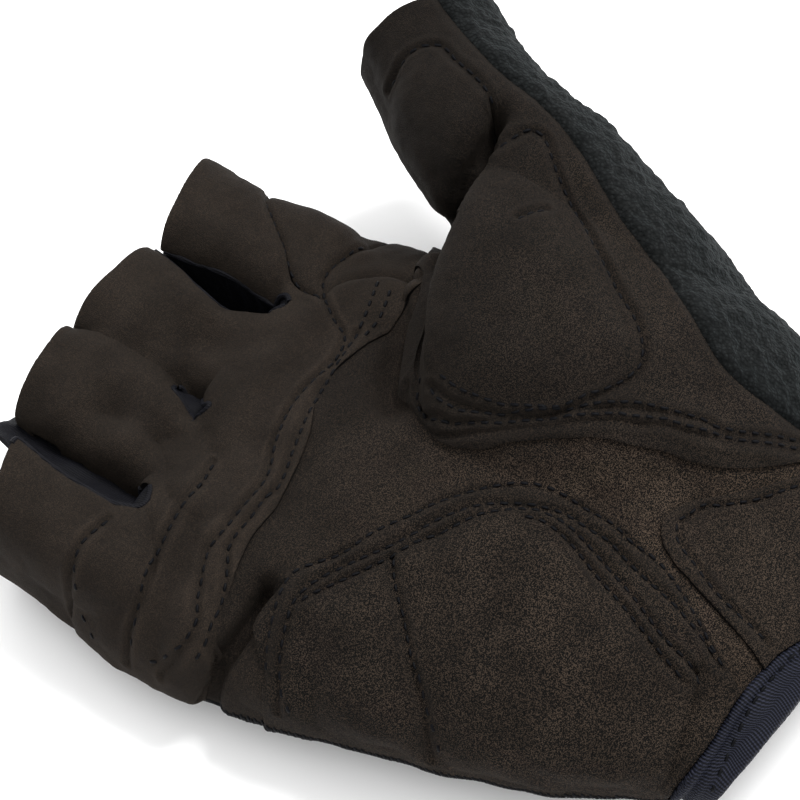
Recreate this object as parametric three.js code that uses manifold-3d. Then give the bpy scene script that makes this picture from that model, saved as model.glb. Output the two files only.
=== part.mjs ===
// Short-finger cycling glove for the right hand, lying palm up, in millimetres.
// +X is the thumb side, +Y runs from the wrist to the fingers, +Z is the palm side.
import * as THREE from 'three';
import { mergeVertices } from 'three/addons/utils/BufferGeometryUtils.js';
import Module from 'manifold-3d';

const wasm = await Module();
wasm.setup();

// Named sizes of the glove.
const PALM_WIDTH = 93;
const HAND_LENGTH = 146;
const PALM_HEIGHT = 30;
const STALL_HEIGHT = 26;
const FINGER_PITCH = PALM_WIDTH * 0.2473;
const STALL_ROOT = HAND_LENGTH * 0.2;
const SLIT_END = HAND_LENGTH * 0.3185;
const BEYOND_RIMS = HAND_LENGTH * 0.65;
const SIDE_SEAM = PALM_HEIGHT * 0.3;
const SEAM_GAP = 0.3;
// How far the wrist opening runs back towards the fingers per millimetre below the palm side, and the place
// and reach, in lengths, over which the sections take up that lean.
const WRIST_LEAN = 0.3;
const LEAN_FROM = -0.26;
const LEAN_REACH = 0.16;

// Cloth thicknesses, measured from the hollow outwards.
const PALM_CLOTH = 1.3;
const OVERLAY_CLOTH = 1.7;
const BACK_CLOTH = 1.2;
const STALL_CLOTH = 1.2;
const TERRY_CLOTH = 2.3;
const BINDING_CLOTH = 2.4;
const PATCH_CLOTH = 1.1;
const STALL_EASE = 0.2;

// Middle of the finished glove on the floor, so that it ends centred on the origin.
const CENTRE_X = PALM_WIDTH * 0.27;
const CENTRE_Y = HAND_LENGTH * 0.0384;

// Sections of the palm from wrist hem to finger roots, as shares of length, width and height.
// along: place; left, right: the two sides; low, high: back and palm; seam: widest level;
// round: squareness; slant: how far the hem runs back per millimetre towards the thumb.
const PALM_ROWS = [
  { along: -0.44, left: -0.17, right: 0.58, low: 0.12, high: 0.86, seam: 0.46, round: 2.2, slant: 0.12 },
  { along: -0.42, left: -0.19, right: 0.60, low: 0.08, high: 0.95, seam: 0.46, round: 2.2, slant: 0.12 },
  { along: -0.37, left: -0.21, right: 0.61, low: 0.04, high: 1.00, seam: 0.46, round: 2.3, slant: 0.10 },
  { along: -0.28, left: -0.26, right: 0.65, low: 0.00, high: 1.06, seam: 0.46, round: 2.3, slant: 0.05 },
  { along: -0.15, left: -0.328, right: 0.70, low: -0.04, high: 1.10, seam: 0.46, round: 2.3, slant: 0 },
  { along: 0.00, left: -0.392, right: 0.68, low: -0.04, high: 1.06, seam: 0.46, round: 2.4, slant: 0 },
  { along: 0.15, left: -0.44, right: 0.60, low: -0.04, high: 1.00, seam: 0.46, round: 2.5, slant: 0 },
  { along: 0.26, left: -0.450, right: 0.555, low: -0.04, high: 0.94, seam: 0.46, round: 2.6, slant: 0 },
  { along: 0.33, left: -0.428, right: 0.520, low: 0.02, high: 0.845, seam: 0.46, round: 2.7, slant: 0 },
];

// Sections of the ball of the thumb, in the same shares.
const MOUND_ROWS = [
  { along: -0.34, left: 0.28, right: 0.60, low: 0.10, high: 0.98, seam: 0.60, round: 2.0, slant: 0 },
  { along: -0.24, left: 0.18, right: 0.70, low: 0.06, high: 1.28, seam: 0.60, round: 2.1, slant: 0 },
  { along: -0.12, left: 0.10, right: 0.745, low: 0.04, high: 1.50, seam: 0.62, round: 2.1, slant: 0 },
  { along: 0.00, left: 0.09, right: 0.79, low: 0.06, high: 1.60, seam: 0.66, round: 2.1, slant: 0 },
  { along: 0.08, left: 0.13, right: 0.83, low: 0.10, high: 1.62, seam: 0.70, round: 2.1, slant: 0 },
  { along: 0.14, left: 0.24, right: 0.85, low: 0.20, high: 1.58, seam: 0.75, round: 2.1, slant: 0 },
  { along: 0.19, left: 0.42, right: 0.85, low: 0.40, high: 1.50, seam: 0.85, round: 2.0, slant: 0 },
];

// One row per finger stall. middle: centre line at its root; lean: how far the rim sits sideways; wide, tip:
// widths at root and rim; slant: lead of the thumb side of the rim; all in pitches. rise: how far the rim
// sits up, in heights; rim: its end, in lengths.
const FINGERS = [
  { name: 'index', middle: 1.665, lean: 0.017, rise: 0, wide: 0.99, tip: 1.0, rim: 0.524, slant: 0.087 },
  { name: 'middle', middle: 0.657, lean: 0.026, rise: 0, wide: 1.0, tip: 0.98, rim: 0.527, slant: 0 },
  { name: 'ring', middle: -0.365, lean: 0.104, rise: 0.058, wide: 1.0, tip: 0.86, rim: 0.535, slant: 0.05 },
  { name: 'little', middle: -1.348, lean: 0.13, rise: 0.096, wide: 0.95, tip: 0.86, rim: 0.486, slant: 0.13 },
];

// Sections of the thumb along its own axis, in the same shares: centre, half sizes across and through.
const THUMB_ROWS = [
  { x: 0.516, y: -0.205, z: 0.6, across: 0.172, through: 0.433 },
  { x: 0.597, y: -0.055, z: 0.8, across: 0.194, through: 0.633 },
  { x: 0.686, y: 0.096, z: 1.033, across: 0.177, through: 0.6 },
  { x: 0.763, y: 0.219, z: 1.2, across: 0.142, through: 0.51 },
  { x: 0.828, y: 0.295, z: 1.267, across: 0.127, through: 0.433 },
  { x: 0.885, y: 0.346, z: 1.3, across: 0.127, through: 0.433 },
];

// Soft rises (height above 0) and dents (below 0) of the palm side, in shares of width, length and height.
// long, short: reach in widths; turn: degrees from +X; pad: true where stuffing lifts the cloth.
const RELIEF = [
  { x: -0.172, y: -0.137, long: 0.28, short: 0.183, turn: 105, height: 0.1, pad: true },
  { x: 0.409, y: 0.014, long: 0.258, short: 0.151, turn: 50, height: 0.073, pad: true },
  { x: 0.753, y: 0.253, long: 0.108, short: 0.065, turn: 65, height: 0.033, pad: true },
  { x: -0.366, y: 0.137, long: 0.129, short: 0.054, turn: 10, height: -0.1, pad: false },
  { x: 0.215, y: 0.137, long: 0.129, short: 0.065, turn: 25, height: -0.067, pad: false },
  { x: 0.032, y: 0.247, long: 0.366, short: 0.065, turn: 0, height: -0.04, pad: false },
  { x: 0.28, y: -0.274, long: 0.172, short: 0.086, turn: 120, height: -0.053, pad: false },
];

// Seam lines seen from above, each from its first to its last point: x in palm widths, y in lengths.
const FINGER_EDGE = [
  { x: 0.43, y: 0.161 }, { x: 0.372, y: 0.176 }, { x: 0.263, y: 0.199 }, { x: 0.175, y: 0.21 },
  { x: 0.114, y: 0.21 }, { x: 0.033, y: 0.19 }, { x: -0.126, y: 0.173 }, { x: -0.211, y: 0.177 },
  { x: -0.319, y: 0.171 }, { x: -0.433, y: 0.158 }, { x: -0.581, y: 0.14 },
];
const INDEX_SEAM = [
  { x: 0.323, y: 0.282 }, { x: 0.333, y: 0.325 }, { x: 0.403, y: 0.375 }, { x: 0.472, y: 0.426 },
  { x: 0.624, y: 0.493 },
];
const WEB_SEAM = [
  { x: 0.323, y: 0.282 }, { x: 0.372, y: 0.3 }, { x: 0.44, y: 0.295 }, { x: 0.581, y: 0.26 },
];
const WEB_CREASE = [
  { x: 0.323, y: 0.282 }, { x: 0.36, y: 0.278 }, { x: 0.415, y: 0.251 }, { x: 0.441, y: 0.219 },
  { x: 0.43, y: 0.161 },
];
const THUMB_EDGE = [
  { x: 0.489, y: -0.493 }, { x: 0.468, y: -0.384 }, { x: 0.422, y: -0.329 }, { x: 0.338, y: -0.269 },
  { x: 0.276, y: -0.188 }, { x: 0.228, y: -0.113 }, { x: 0.172, y: -0.046 }, { x: 0.131, y: 0.019 },
  { x: 0.125, y: 0.057 }, { x: 0.135, y: 0.089 }, { x: 0.194, y: 0.105 }, { x: 0.28, y: 0.125 },
  { x: 0.355, y: 0.142 }, { x: 0.43, y: 0.161 },
];
const THUMB_GAP = [
  { x: 0.43, y: 0.161 }, { x: 0.495, y: 0.205 }, { x: 0.573, y: 0.229 }, { x: 0.591, y: 0.274 },
  { x: 0.624, y: 0.438 },
];
const TERRY_EDGE = [
  { x: 0.946, y: 0.397 }, { x: 0.876, y: 0.32 }, { x: 0.83, y: 0.268 }, { x: 0.791, y: 0.218 },
  { x: 0.768, y: 0.16 }, { x: 0.731, y: 0.09 }, { x: 0.638, y: -0.01 }, { x: 0.586, y: -0.079 },
  { x: 0.514, y: -0.15 }, { x: 0.471, y: -0.205 }, { x: 0.467, y: -0.274 }, { x: 0.505, y: -0.384 },
  { x: 0.538, y: -0.493 },
];
const HEEL_EDGE = [
  { x: -0.581, y: 0.075 }, { x: -0.43, y: 0.079 }, { x: -0.36, y: 0.106 }, { x: -0.294, y: 0.127 },
  { x: -0.226, y: 0.116 }, { x: -0.149, y: 0.084 }, { x: -0.025, y: 0.032 }, { x: 0.038, y: 0.004 },
  { x: 0.105, y: -0.047 }, { x: 0.137, y: -0.123 }, { x: 0.127, y: -0.192 }, { x: 0.092, y: -0.267 },
  { x: 0.038, y: -0.325 }, { x: -0.022, y: -0.388 },
];
const HEM_SEAM = [
  { x: -0.581, y: -0.373 }, { x: -0.215, y: -0.377 }, { x: -0.108, y: -0.381 },
  { x: -0.022, y: -0.388 }, { x: 0.054, y: -0.397 }, { x: 0.129, y: -0.408 }, { x: 0.301, y: -0.419 },
  { x: 0.495, y: -0.425 }, { x: 0.968, y: -0.428 },
];
const PATCH_EDGE = [
  { x: 0.013, y: -0.425 }, { x: 0.049, y: -0.37 }, { x: 0.084, y: -0.305 }, { x: 0.111, y: -0.264 },
  { x: 0.14, y: -0.238 }, { x: 0.177, y: -0.227 }, { x: 0.231, y: -0.237 }, { x: 0.297, y: -0.276 },
  { x: 0.382, y: -0.332 }, { x: 0.435, y: -0.377 }, { x: 0.462, y: -0.452 },
];

// Slits between the stalls: place at root and rim and reach of the strip each way, in pitches; its top
// edge, in stall heights.
const SLITS = [
  { name: 'fourchette_index_middle', root: 1.165, rim: 1.183, reach: 0.14, high: 0.83 },
  { name: 'fourchette_middle_ring', root: 0.148, rim: 0.183, reach: 0.14, high: 0.83 },
  { name: 'fourchette_ring_little', root: -0.878, rim: -0.748, reach: 0.165, high: 0.87 },
];

// Value of a table column at a place, by smooth steps between its rows.
function column(rows, key, place, at) {
  let i = 0;
  while (i + 2 < rows.length && at > rows[i + 1][place]) i += 1;
  const before = rows[Math.max(i - 1, 0)];
  const from = rows[i];
  const to = rows[i + 1];
  const after = rows[Math.min(i + 2, rows.length - 1)];
  const span = to[place] - from[place];
  const t = Math.min(Math.max((at - from[place]) / span, 0), 1);
  const straight = (to[key] - from[key]) / span;
  const slopeIn = before === from ? straight : (to[key] - before[key]) / (to[place] - before[place]);
  const slopeOut = after === to ? straight : (after[key] - from[key]) / (after[place] - from[place]);
  const t2 = t * t;
  const t3 = t2 * t;
  return (2 * t3 - 3 * t2 + 1) * from[key] + (t3 - 2 * t2 + t) * span * slopeIn
    + (3 * t2 - 2 * t3) * to[key] + (t3 - t2) * span * slopeOut;
}

// Height of all rises and dents at a place; the hollow follows the dents only.
function relief(x, y, withPads) {
  let height = 0;
  for (const spot of RELIEF) {
    if (spot.pad && !withPads) continue;
    const turn = THREE.MathUtils.degToRad(spot.turn);
    const dx = x - spot.x * PALM_WIDTH;
    const dy = y - spot.y * HAND_LENGTH;
    const u = (dx * Math.cos(turn) + dy * Math.sin(turn)) / (spot.long * PALM_WIDTH);
    const v = (dy * Math.cos(turn) - dx * Math.sin(turn)) / (spot.short * PALM_WIDTH);
    const near = Math.max(1 - (u * u + v * v), 0);
    height += spot.height * PALM_HEIGHT * near * near * (3 - 2 * near);
  }
  return height;
}

// A point of a rounded section: half width and the heights below and above its widest level.
function sectionPoint(angle, half, below, above, round) {
  const c = Math.cos(angle);
  const s = Math.sin(angle);
  const across = Math.sign(c) * Math.abs(c) ** (2 / round) * half;
  const height = Math.abs(s) ** (2 / round);
  return [across, s < 0 ? -height * below : height * above];
}

// A closed solid through rings of points, with a fan at each end.
function loft(rings) {
  const around = rings[0].length;
  const points = rings.flat();
  const faces = [];
  for (let i = 0; i + 1 < rings.length; i += 1) {
    for (let j = 0; j < around; j += 1) {
      const a = i * around + j;
      const b = i * around + (j + 1) % around;
      faces.push(a, b, b + around, a, b + around, a + around);
    }
  }
  for (const [row, forward] of [[0, false], [rings.length - 1, true]]) {
    const centre = points.length;
    points.push([0, 1, 2].map((k) => rings[row].reduce((sum, p) => sum + p[k], 0) / around));
    for (let j = 0; j < around; j += 1) {
      const a = row * around + j;
      const b = row * around + (j + 1) % around;
      faces.push(...(forward ? [a, b, centre] : [b, a, centre]));
    }
  }
  const geometry = new THREE.BufferGeometry();
  geometry.setAttribute('position', new THREE.Float32BufferAttribute(points.flat(), 3));
  geometry.setIndex(faces);
  return toSolid(geometry);
}

function facesOut(geometry) {
  const p = geometry.attributes.position;
  const index = geometry.index.array;
  const a = new THREE.Vector3();
  const b = new THREE.Vector3();
  const c = new THREE.Vector3();
  let volume = 0;
  for (let i = 0; i < index.length; i += 3) {
    a.fromBufferAttribute(p, index[i]);
    b.fromBufferAttribute(p, index[i + 1]);
    c.fromBufferAttribute(p, index[i + 2]);
    volume += a.dot(b.cross(c));
  }
  if (volume > 0) return geometry;
  for (let i = 0; i < index.length; i += 3) {
    const keep = index[i + 1];
    index[i + 1] = index[i + 2];
    index[i + 2] = keep;
  }
  return geometry;
}

function toSolid(geometry) {
  const bare = new THREE.BufferGeometry();
  bare.setAttribute('position', geometry.attributes.position.clone());
  if (geometry.index) bare.setIndex(geometry.index.clone());
  const merged = facesOut(mergeVertices(bare, 1e-4));
  return new wasm.Manifold(new wasm.Mesh({
    numProp: 3,
    vertProperties: new Float32Array(merged.attributes.position.array),
    triVerts: new Uint32Array(merged.index.array),
  }));
}

function toGeometry(solid) {
  const mesh = solid.getMesh();
  const geometry = new THREE.BufferGeometry();
  const places = new Float32Array(mesh.vertProperties);
  geometry.setAttribute('position', new THREE.BufferAttribute(places, 3));
  geometry.setIndex(new THREE.BufferAttribute(new Uint32Array(mesh.triVerts), 1));
  return geometry;
}

// The palm or the ball of the thumb, grown outwards, its wrist end made longer for the hollow.
function bodyLoft(rows, steps, around, grow, longer) {
  const rings = [];
  const first = rows[0].along;
  const last = rows[rows.length - 1].along;
  for (let i = 0; i <= steps; i += 1) {
    const at = first + (last - first) * i / steps;
    const get = (key) => column(rows, key, 'along', at);
    const left = get('left') * PALM_WIDTH - grow;
    const right = get('right') * PALM_WIDTH + grow;
    const seam = get('seam') * PALM_HEIGHT;
    const below = seam - get('low') * PALM_HEIGHT + grow;
    const above = get('high') * PALM_HEIGHT + grow - seam;
    const beyond = i === steps ? grow : 0;
    const share = Math.min(Math.max((LEAN_FROM - at) / LEAN_REACH, 0), 1);
    const ring = [];
    for (let j = 0; j < around; j += 1) {
      const [across, height] = sectionPoint(2 * Math.PI * j / around, (right - left) / 2, below, above,
        get('round'));
      const x = (left + right) / 2 + across;
      const lean = share * WRIST_LEAN * (PALM_HEIGHT - seam - height);
      const y = at * HAND_LENGTH + beyond - get('slant') * x + lean;
      const rise = Math.max(height, 0) / above * relief(x, y, grow > 0);
      ring.push([x, y, seam + height + rise]);
    }
    rings.push(ring);
  }
  if (longer) rings.unshift(rings[0].map(([x, y, z]) => [x, y - longer, z]));
  return loft(rings);
}

function stallLoft(finger, grow, longer) {
  const rings = [];
  const steps = 5;
  const around = 20;
  for (let i = 0; i <= steps; i += 1) {
    const share = i / steps;
    const y = STALL_ROOT + (finger.rim * HAND_LENGTH - STALL_ROOT) * share;
    const open = Math.min(0.72 + share * 0.75, 1);
    const width = FINGER_PITCH * (finger.wide + (finger.tip - finger.wide) * share) * open;
    const half = width / 2 - STALL_EASE - STALL_CLOTH + Math.min(grow, STALL_CLOTH);
    const lift = finger.rise * STALL_HEIGHT * share * share;
    const seam = STALL_HEIGHT * (0.51 + 0.04 * share) + lift;
    const low = seam - STALL_HEIGHT * (0.49 - 0.04 * share) * open - grow;
    const high = seam + STALL_HEIGHT * (0.49 - 0.04 * share) * open + grow;
    const ring = [];
    for (let j = 0; j < around; j += 1) {
      const [across, height] = sectionPoint(2 * Math.PI * j / around, half, seam - low, high - seam, 2.4);
      const x = (finger.middle + finger.lean * share) * FINGER_PITCH + across;
      const rise = Math.max(height, 0) / (high - seam) * relief(x, y, grow > 0);
      const lead = finger.slant * FINGER_PITCH * across / half * share;
      ring.push([x, y + lead, seam + height + rise]);
    }
    rings.push(ring);
  }
  if (longer) rings.push(rings[steps].map(([x, y, z]) => [x, y + longer, z]));
  return loft(rings);
}

function thumbLoft(grow, longer) {
  const rings = [];
  const steps = 11;
  const around = 24;
  const rows = THUMB_ROWS.map((row, i) => ({ ...row, at: i }));
  const end = rows.length - 1;
  const place = (at) => {
    const held = Math.min(Math.max(at, 0), end);
    const get = (key) => column(rows, key, 'at', held);
    return new THREE.Vector3(get('x') * PALM_WIDTH, get('y') * HAND_LENGTH, get('z') * PALM_HEIGHT);
  };
  for (let i = 0; i <= steps; i += 1) {
    const at = end * i / steps;
    const axis = place(at + 0.05).sub(place(at - 0.05)).normalize();
    const side = new THREE.Vector3().crossVectors(axis, new THREE.Vector3(0, 0, 1)).normalize();
    const up = new THREE.Vector3().crossVectors(side, axis);
    const centre = place(at);
    const half = column(rows, 'across', 'at', at) * PALM_WIDTH + grow;
    const through = column(rows, 'through', 'at', at) * PALM_HEIGHT + grow;
    const ring = [];
    for (let j = 0; j < around; j += 1) {
      const [across, height] = sectionPoint(2 * Math.PI * j / around, half, through, through, 2.1);
      const p = centre.clone().addScaledVector(side, across).addScaledVector(up, height);
      const rise = Math.max(height, 0) / through * relief(p.x, p.y, grow > 0);
      ring.push([p.x, p.y, p.z + rise]);
    }
    rings.push(ring);
    if (i === steps && longer) {
      rings.push(ring.map(([x, y, z]) => [x + axis.x * longer, y + axis.y * longer, z + axis.z * longer]));
    }
  }
  return loft(rings);
}

// Everything inside the glove's outline grown by a thickness, cut off flat at a level.
function hand(grow, longer, floor) {
  let solid = bodyLoft(PALM_ROWS, 14, 36, grow, longer);
  solid = solid.add(bodyLoft(MOUND_ROWS, 9, 28, grow, 0));
  for (const finger of FINGERS) solid = solid.add(stallLoft(finger, grow, longer));
  solid = solid.add(thumbLoft(grow, longer));
  return solid.subtract(block(-PALM_HEIGHT * 2, floor));
}

// A block wider than the glove between two levels.
function block(low, high) {
  const box = new THREE.BoxGeometry(PALM_WIDTH * 4, HAND_LENGTH * 3, high - low);
  box.translate(0, 0, (low + high) / 2);
  box.deleteAttribute('normal');
  box.deleteAttribute('uv');
  return toSolid(box);
}

// A seam line drawn smoothly through its points.
function drawn(line) {
  const places = line.map((p) => new THREE.Vector3(p.x * PALM_WIDTH, p.y * HAND_LENGTH, 0));
  const curve = new THREE.CatmullRomCurve3(places, false, 'centripetal');
  const points = [];
  for (let i = 0; i < line.length - 1; i += 1) {
    for (const part of [0, 0.5]) points.push(curve.getPoint((i + part) / (line.length - 1)));
  }
  points.push(places[places.length - 1]);
  return points.map((p) => new THREE.Vector2(p.x, p.y));
}

// An upright block over an outline between two levels, or one that leans with the wrist opening.
function prism(outline, low, high, lean = 0) {
  const shape = new THREE.Shape(outline);
  const solid = new THREE.ExtrudeGeometry(shape, { depth: high - low, bevelEnabled: false, steps: 1 });
  solid.translate(0, 0, low);
  const p = solid.attributes.position;
  for (let i = 0; i < p.count; i += 1) p.setY(i, p.getY(i) + lean * (PALM_HEIGHT - p.getZ(i)));
  return toSolid(solid);
}

// An upright ribbon one seam gap wide along a line, to part two panels.
function parting(line, low, high, lean = 0) {
  const points = drawn(line);
  const left = [];
  const right = [];
  points.forEach((p, i) => {
    const ahead = points[Math.min(i + 1, points.length - 1)];
    const behind = points[Math.max(i - 1, 0)];
    const along = ahead.clone().sub(behind).normalize().multiplyScalar(SEAM_GAP / 2);
    left.push(new THREE.Vector2(p.x - along.y, p.y + along.x));
    right.push(new THREE.Vector2(p.x + along.y, p.y - along.x));
  });
  return prism([...left, ...right.reverse()], low, high, lean);
}

const corner = (x, y) => new THREE.Vector2(x * PALM_WIDTH, y * HAND_LENGTH);
const back = (line) => drawn(line).reverse();
const LEVELS = [SIDE_SEAM + SEAM_GAP / 2, PALM_HEIGHT * 3];
const ALL_LEVELS = [-PALM_HEIGHT, PALM_HEIGHT * 3.1];

// Outlines of the panels seen from above, made of the shared seam lines.
const outlines = {
  fingers: [...back(FINGER_EDGE), ...back(WEB_CREASE).slice(1), ...drawn(INDEX_SEAM).slice(1),
    corner(0.624, 0.685), corner(-0.581, 0.685)],
  gusset: [...drawn(INDEX_SEAM), corner(0.591, 0.411), ...back(WEB_SEAM).slice(0, -1)],
  web: [...drawn(WEB_SEAM), ...drawn(THUMB_GAP).slice(0, 5).reverse(), ...back(WEB_CREASE).slice(1, -1)],
  thumb: [...drawn(THUMB_EDGE), ...drawn(THUMB_GAP).slice(1), corner(0.753, 0.548),
    ...drawn(TERRY_EDGE).slice(0, -1)],
  terry: [...drawn(TERRY_EDGE), corner(1.29, -0.48), corner(1.29, 0.548)],
  heel: [...drawn(HEEL_EDGE), ...drawn(HEM_SEAM).slice(0, 6).reverse()],
  palm: [...drawn(HEEL_EDGE), ...drawn(HEM_SEAM).slice(7, 14), ...drawn(THUMB_EDGE).slice(1),
    ...drawn(FINGER_EDGE).slice(1)],
  patch: drawn(PATCH_EDGE),
  hem: [...drawn(HEM_SEAM), corner(0.968, -0.685), corner(-0.581, -0.685)],
};

const hollow = hand(0, HAND_LENGTH * 0.1, BACK_CLOTH + 0.3);
const wallOf = (cloth) => hand(cloth, 0, 0).subtract(hollow);
const seams = [FINGER_EDGE, INDEX_SEAM, WEB_SEAM, WEB_CREASE, THUMB_EDGE, THUMB_GAP, TERRY_EDGE, HEEL_EDGE];
const partings = seams.map((line) => parting(line, ...ALL_LEVELS));
const hemParting = parting(HEM_SEAM, ...ALL_LEVELS, WRIST_LEAN);
const hemBlock = prism(outlines.hem, ...ALL_LEVELS, WRIST_LEAN);

function panel(cloth, outline) {
  let solid = wallOf(cloth).intersect(prism(outline, ...LEVELS)).subtract(hemParting);
  for (const cut of partings) solid = solid.subtract(cut);
  return solid;
}

// The strip that lines a slit between two stalls, and the same with room round it.
function slitBlock(slit, room) {
  const reach = slit.reach * FINGER_PITCH + room;
  const root = slit.root * FINGER_PITCH;
  const rim = slit.rim * FINGER_PITCH;
  const rimAt = HAND_LENGTH * 0.534;
  const outline = [[root - reach, SLIT_END - room], [root + reach, SLIT_END - room], [rim + reach, rimAt],
    [rim + reach, BEYOND_RIMS], [rim - reach, BEYOND_RIMS], [rim - reach, rimAt]];
  const points = outline.map(([x, y]) => new THREE.Vector2(x, y));
  return prism(points, SIDE_SEAM + SEAM_GAP / 2 - room, slit.high * STALL_HEIGHT + room);
}

const stallWall = wallOf(STALL_CLOTH);
const aboveHem = (solid) => solid.subtract(hemBlock).subtract(hemParting);
let fingerPanel = panel(OVERLAY_CLOTH, outlines.fingers);
for (const slit of SLITS) fingerPanel = fingerPanel.subtract(slitBlock(slit, SEAM_GAP));
const palmTop = hand(PALM_CLOTH + SEAM_GAP / 2, 0, 0);
const patch = hand(PALM_CLOTH + SEAM_GAP / 2 + PATCH_CLOTH, 0, 0).subtract(palmTop)
  .intersect(prism(outlines.patch, ...LEVELS));

const suede = { color: 0x3b332c, roughness: 0.95, metalness: 0 };
const towel = { color: 0x3a4347, roughness: 1, metalness: 0 };
const stretch = { color: 0x22242f, roughness: 0.7, metalness: 0 };
const knit = { color: 0x1b1c1f, roughness: 0.85, metalness: 0 };

const pieces = [
  ['palm_panel', aboveHem(panel(PALM_CLOTH, outlines.palm)), suede],
  ['finger_panel', fingerPanel, suede],
  ['index_gusset', panel(PALM_CLOTH, outlines.gusset), suede],
  ['web_panel', panel(PALM_CLOTH, outlines.web), suede],
  ['thumb_panel', aboveHem(panel(OVERLAY_CLOTH, outlines.thumb)), suede],
  ['thumb_terry', aboveHem(panel(TERRY_CLOTH, outlines.terry)), towel],
  ['heel_pad', aboveHem(panel(OVERLAY_CLOTH, outlines.heel)), suede],
  ['wrist_patch', aboveHem(patch), suede],
  ...SLITS.map((slit) => [slit.name, stallWall.intersect(slitBlock(slit, 0)), stretch]),
  ['back_panel', aboveHem(wallOf(BACK_CLOTH)
    .intersect(block(-PALM_HEIGHT, SIDE_SEAM - SEAM_GAP / 2))), knit],
  ['wrist_binding', wallOf(BINDING_CLOTH).intersect(hemBlock).subtract(hemParting), stretch],
];

const glove = new THREE.Group();
glove.name = 'cycling_glove';
for (const [name, solid, look] of pieces) {
  const mesh = new THREE.Mesh(toGeometry(solid), new THREE.MeshStandardMaterial(look));
  mesh.name = name;
  mesh.geometry.translate(-CENTRE_X, -CENTRE_Y, 0);
  glove.add(mesh);
}

export default glove;
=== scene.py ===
"""Short-finger cycling glove, palm up: its looks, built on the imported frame.

The glove's form is computed in millimetres in the drawing's own frame, from tables like those of its
solids, and moved to the frame of the model, in metres, when each piece is made.
"""
import math
import bpy
import numpy as np
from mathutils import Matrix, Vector
from mathutils.bvhtree import BVHTree
from mathutils.kdtree import KDTree


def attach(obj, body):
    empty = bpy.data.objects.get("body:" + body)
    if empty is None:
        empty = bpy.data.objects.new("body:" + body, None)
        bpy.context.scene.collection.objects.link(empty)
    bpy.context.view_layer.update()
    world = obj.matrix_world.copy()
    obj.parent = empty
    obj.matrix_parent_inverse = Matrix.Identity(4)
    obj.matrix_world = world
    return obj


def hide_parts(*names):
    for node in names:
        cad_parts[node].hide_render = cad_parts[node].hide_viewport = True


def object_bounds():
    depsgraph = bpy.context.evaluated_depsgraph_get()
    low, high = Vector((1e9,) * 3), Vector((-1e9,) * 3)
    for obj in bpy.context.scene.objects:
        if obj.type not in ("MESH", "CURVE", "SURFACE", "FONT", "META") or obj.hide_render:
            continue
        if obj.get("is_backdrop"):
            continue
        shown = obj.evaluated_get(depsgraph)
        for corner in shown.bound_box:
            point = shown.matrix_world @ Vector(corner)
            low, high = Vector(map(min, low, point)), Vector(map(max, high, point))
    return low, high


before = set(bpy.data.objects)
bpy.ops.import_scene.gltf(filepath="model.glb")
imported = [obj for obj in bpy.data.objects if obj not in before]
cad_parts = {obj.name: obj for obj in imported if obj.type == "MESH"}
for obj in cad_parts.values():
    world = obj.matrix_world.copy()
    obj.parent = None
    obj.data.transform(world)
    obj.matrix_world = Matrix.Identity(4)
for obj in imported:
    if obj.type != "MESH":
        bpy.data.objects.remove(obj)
CAD_BOX = [list(corner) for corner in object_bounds()]
SEED = 7

# Named sizes of the glove, in millimetres, as in its solids.
PALM_WIDTH = 93
HAND_LENGTH = 146
PALM_HEIGHT = 30
STALL_HEIGHT = 26
FINGER_PITCH = PALM_WIDTH * 0.2473
STALL_ROOT = HAND_LENGTH * 0.2
SLIT_END = HAND_LENGTH * 0.3185
RIM_AT = HAND_LENGTH * 0.534
SIDE_SEAM = PALM_HEIGHT * 0.3
BACK_CLOTH = 1.2
STALL_CLOTH = 1.2
STALL_EASE = 0.2
# The wrist opening leans: how much for each step up, and from what share of the length on over what share.
WRIST_LEAN = 0.3
LEAN_FROM = -0.26
LEAN_REACH = 0.16
# Middle of the model's box in the drawing's frame.
CENTRE = np.array([PALM_WIDTH * 0.27, HAND_LENGTH * 0.0384, 0.0])
# Voxels of the form: for what shows, for the back, and the one that rounds of evening out are counted for.
FINE_VOXEL = 0.46
COARSE_VOXEL = 0.85
EVEN_VOXEL = 0.55
# The form is flat below this height, where the glove lies on its back.
FORM_FLOOR = BACK_CLOTH + 0.3
# The camera's eye and what it looks at, in the drawing's frame, and its lens.
EYE = np.array([-203.28, -109.18, 437.06])
AIM = np.array([17.0, 17.996, 30.0])
LENS = 124.2
# Edges sharper than this many degrees stay sharp.
SHARP_FROM = 42
# A stitched row presses a groove of this half width into the cloth, and raises the cloth at this distance.
GROOVE_HALF = 0.62
BESIDE_ROW = 1.35
RAISED = 0.14
# The tape at the wrist: where its stitch row runs from its edge, how far it rolls over the hem, its mean radius.
TAPE_ROW = 1.8
TAPE_ROLL = 3.5
TAPE_RADIUS = 29

# Sections of the palm, of the ball of the thumb and of the thumb, and the finger stalls.
ROW = ("along", "left", "right", "low", "high", "seam", "round", "slant")
PALM_ROWS = [dict(zip(ROW, r)) for r in (
    (-0.44, -0.17, 0.58, 0.12, 0.86, 0.46, 2.2, 0.12),
    (-0.42, -0.19, 0.60, 0.08, 0.95, 0.46, 2.2, 0.12),
    (-0.37, -0.21, 0.61, 0.04, 1.00, 0.46, 2.3, 0.10),
    (-0.28, -0.26, 0.65, 0.00, 1.06, 0.46, 2.3, 0.05),
    (-0.15, -0.328, 0.70, -0.04, 1.10, 0.46, 2.3, 0),
    (0.00, -0.392, 0.68, -0.04, 1.06, 0.46, 2.4, 0),
    (0.15, -0.44, 0.60, -0.04, 1.00, 0.46, 2.5, 0),
    (0.26, -0.450, 0.555, -0.04, 0.94, 0.46, 2.6, 0),
    (0.33, -0.428, 0.520, 0.02, 0.845, 0.46, 2.7, 0))]
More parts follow.
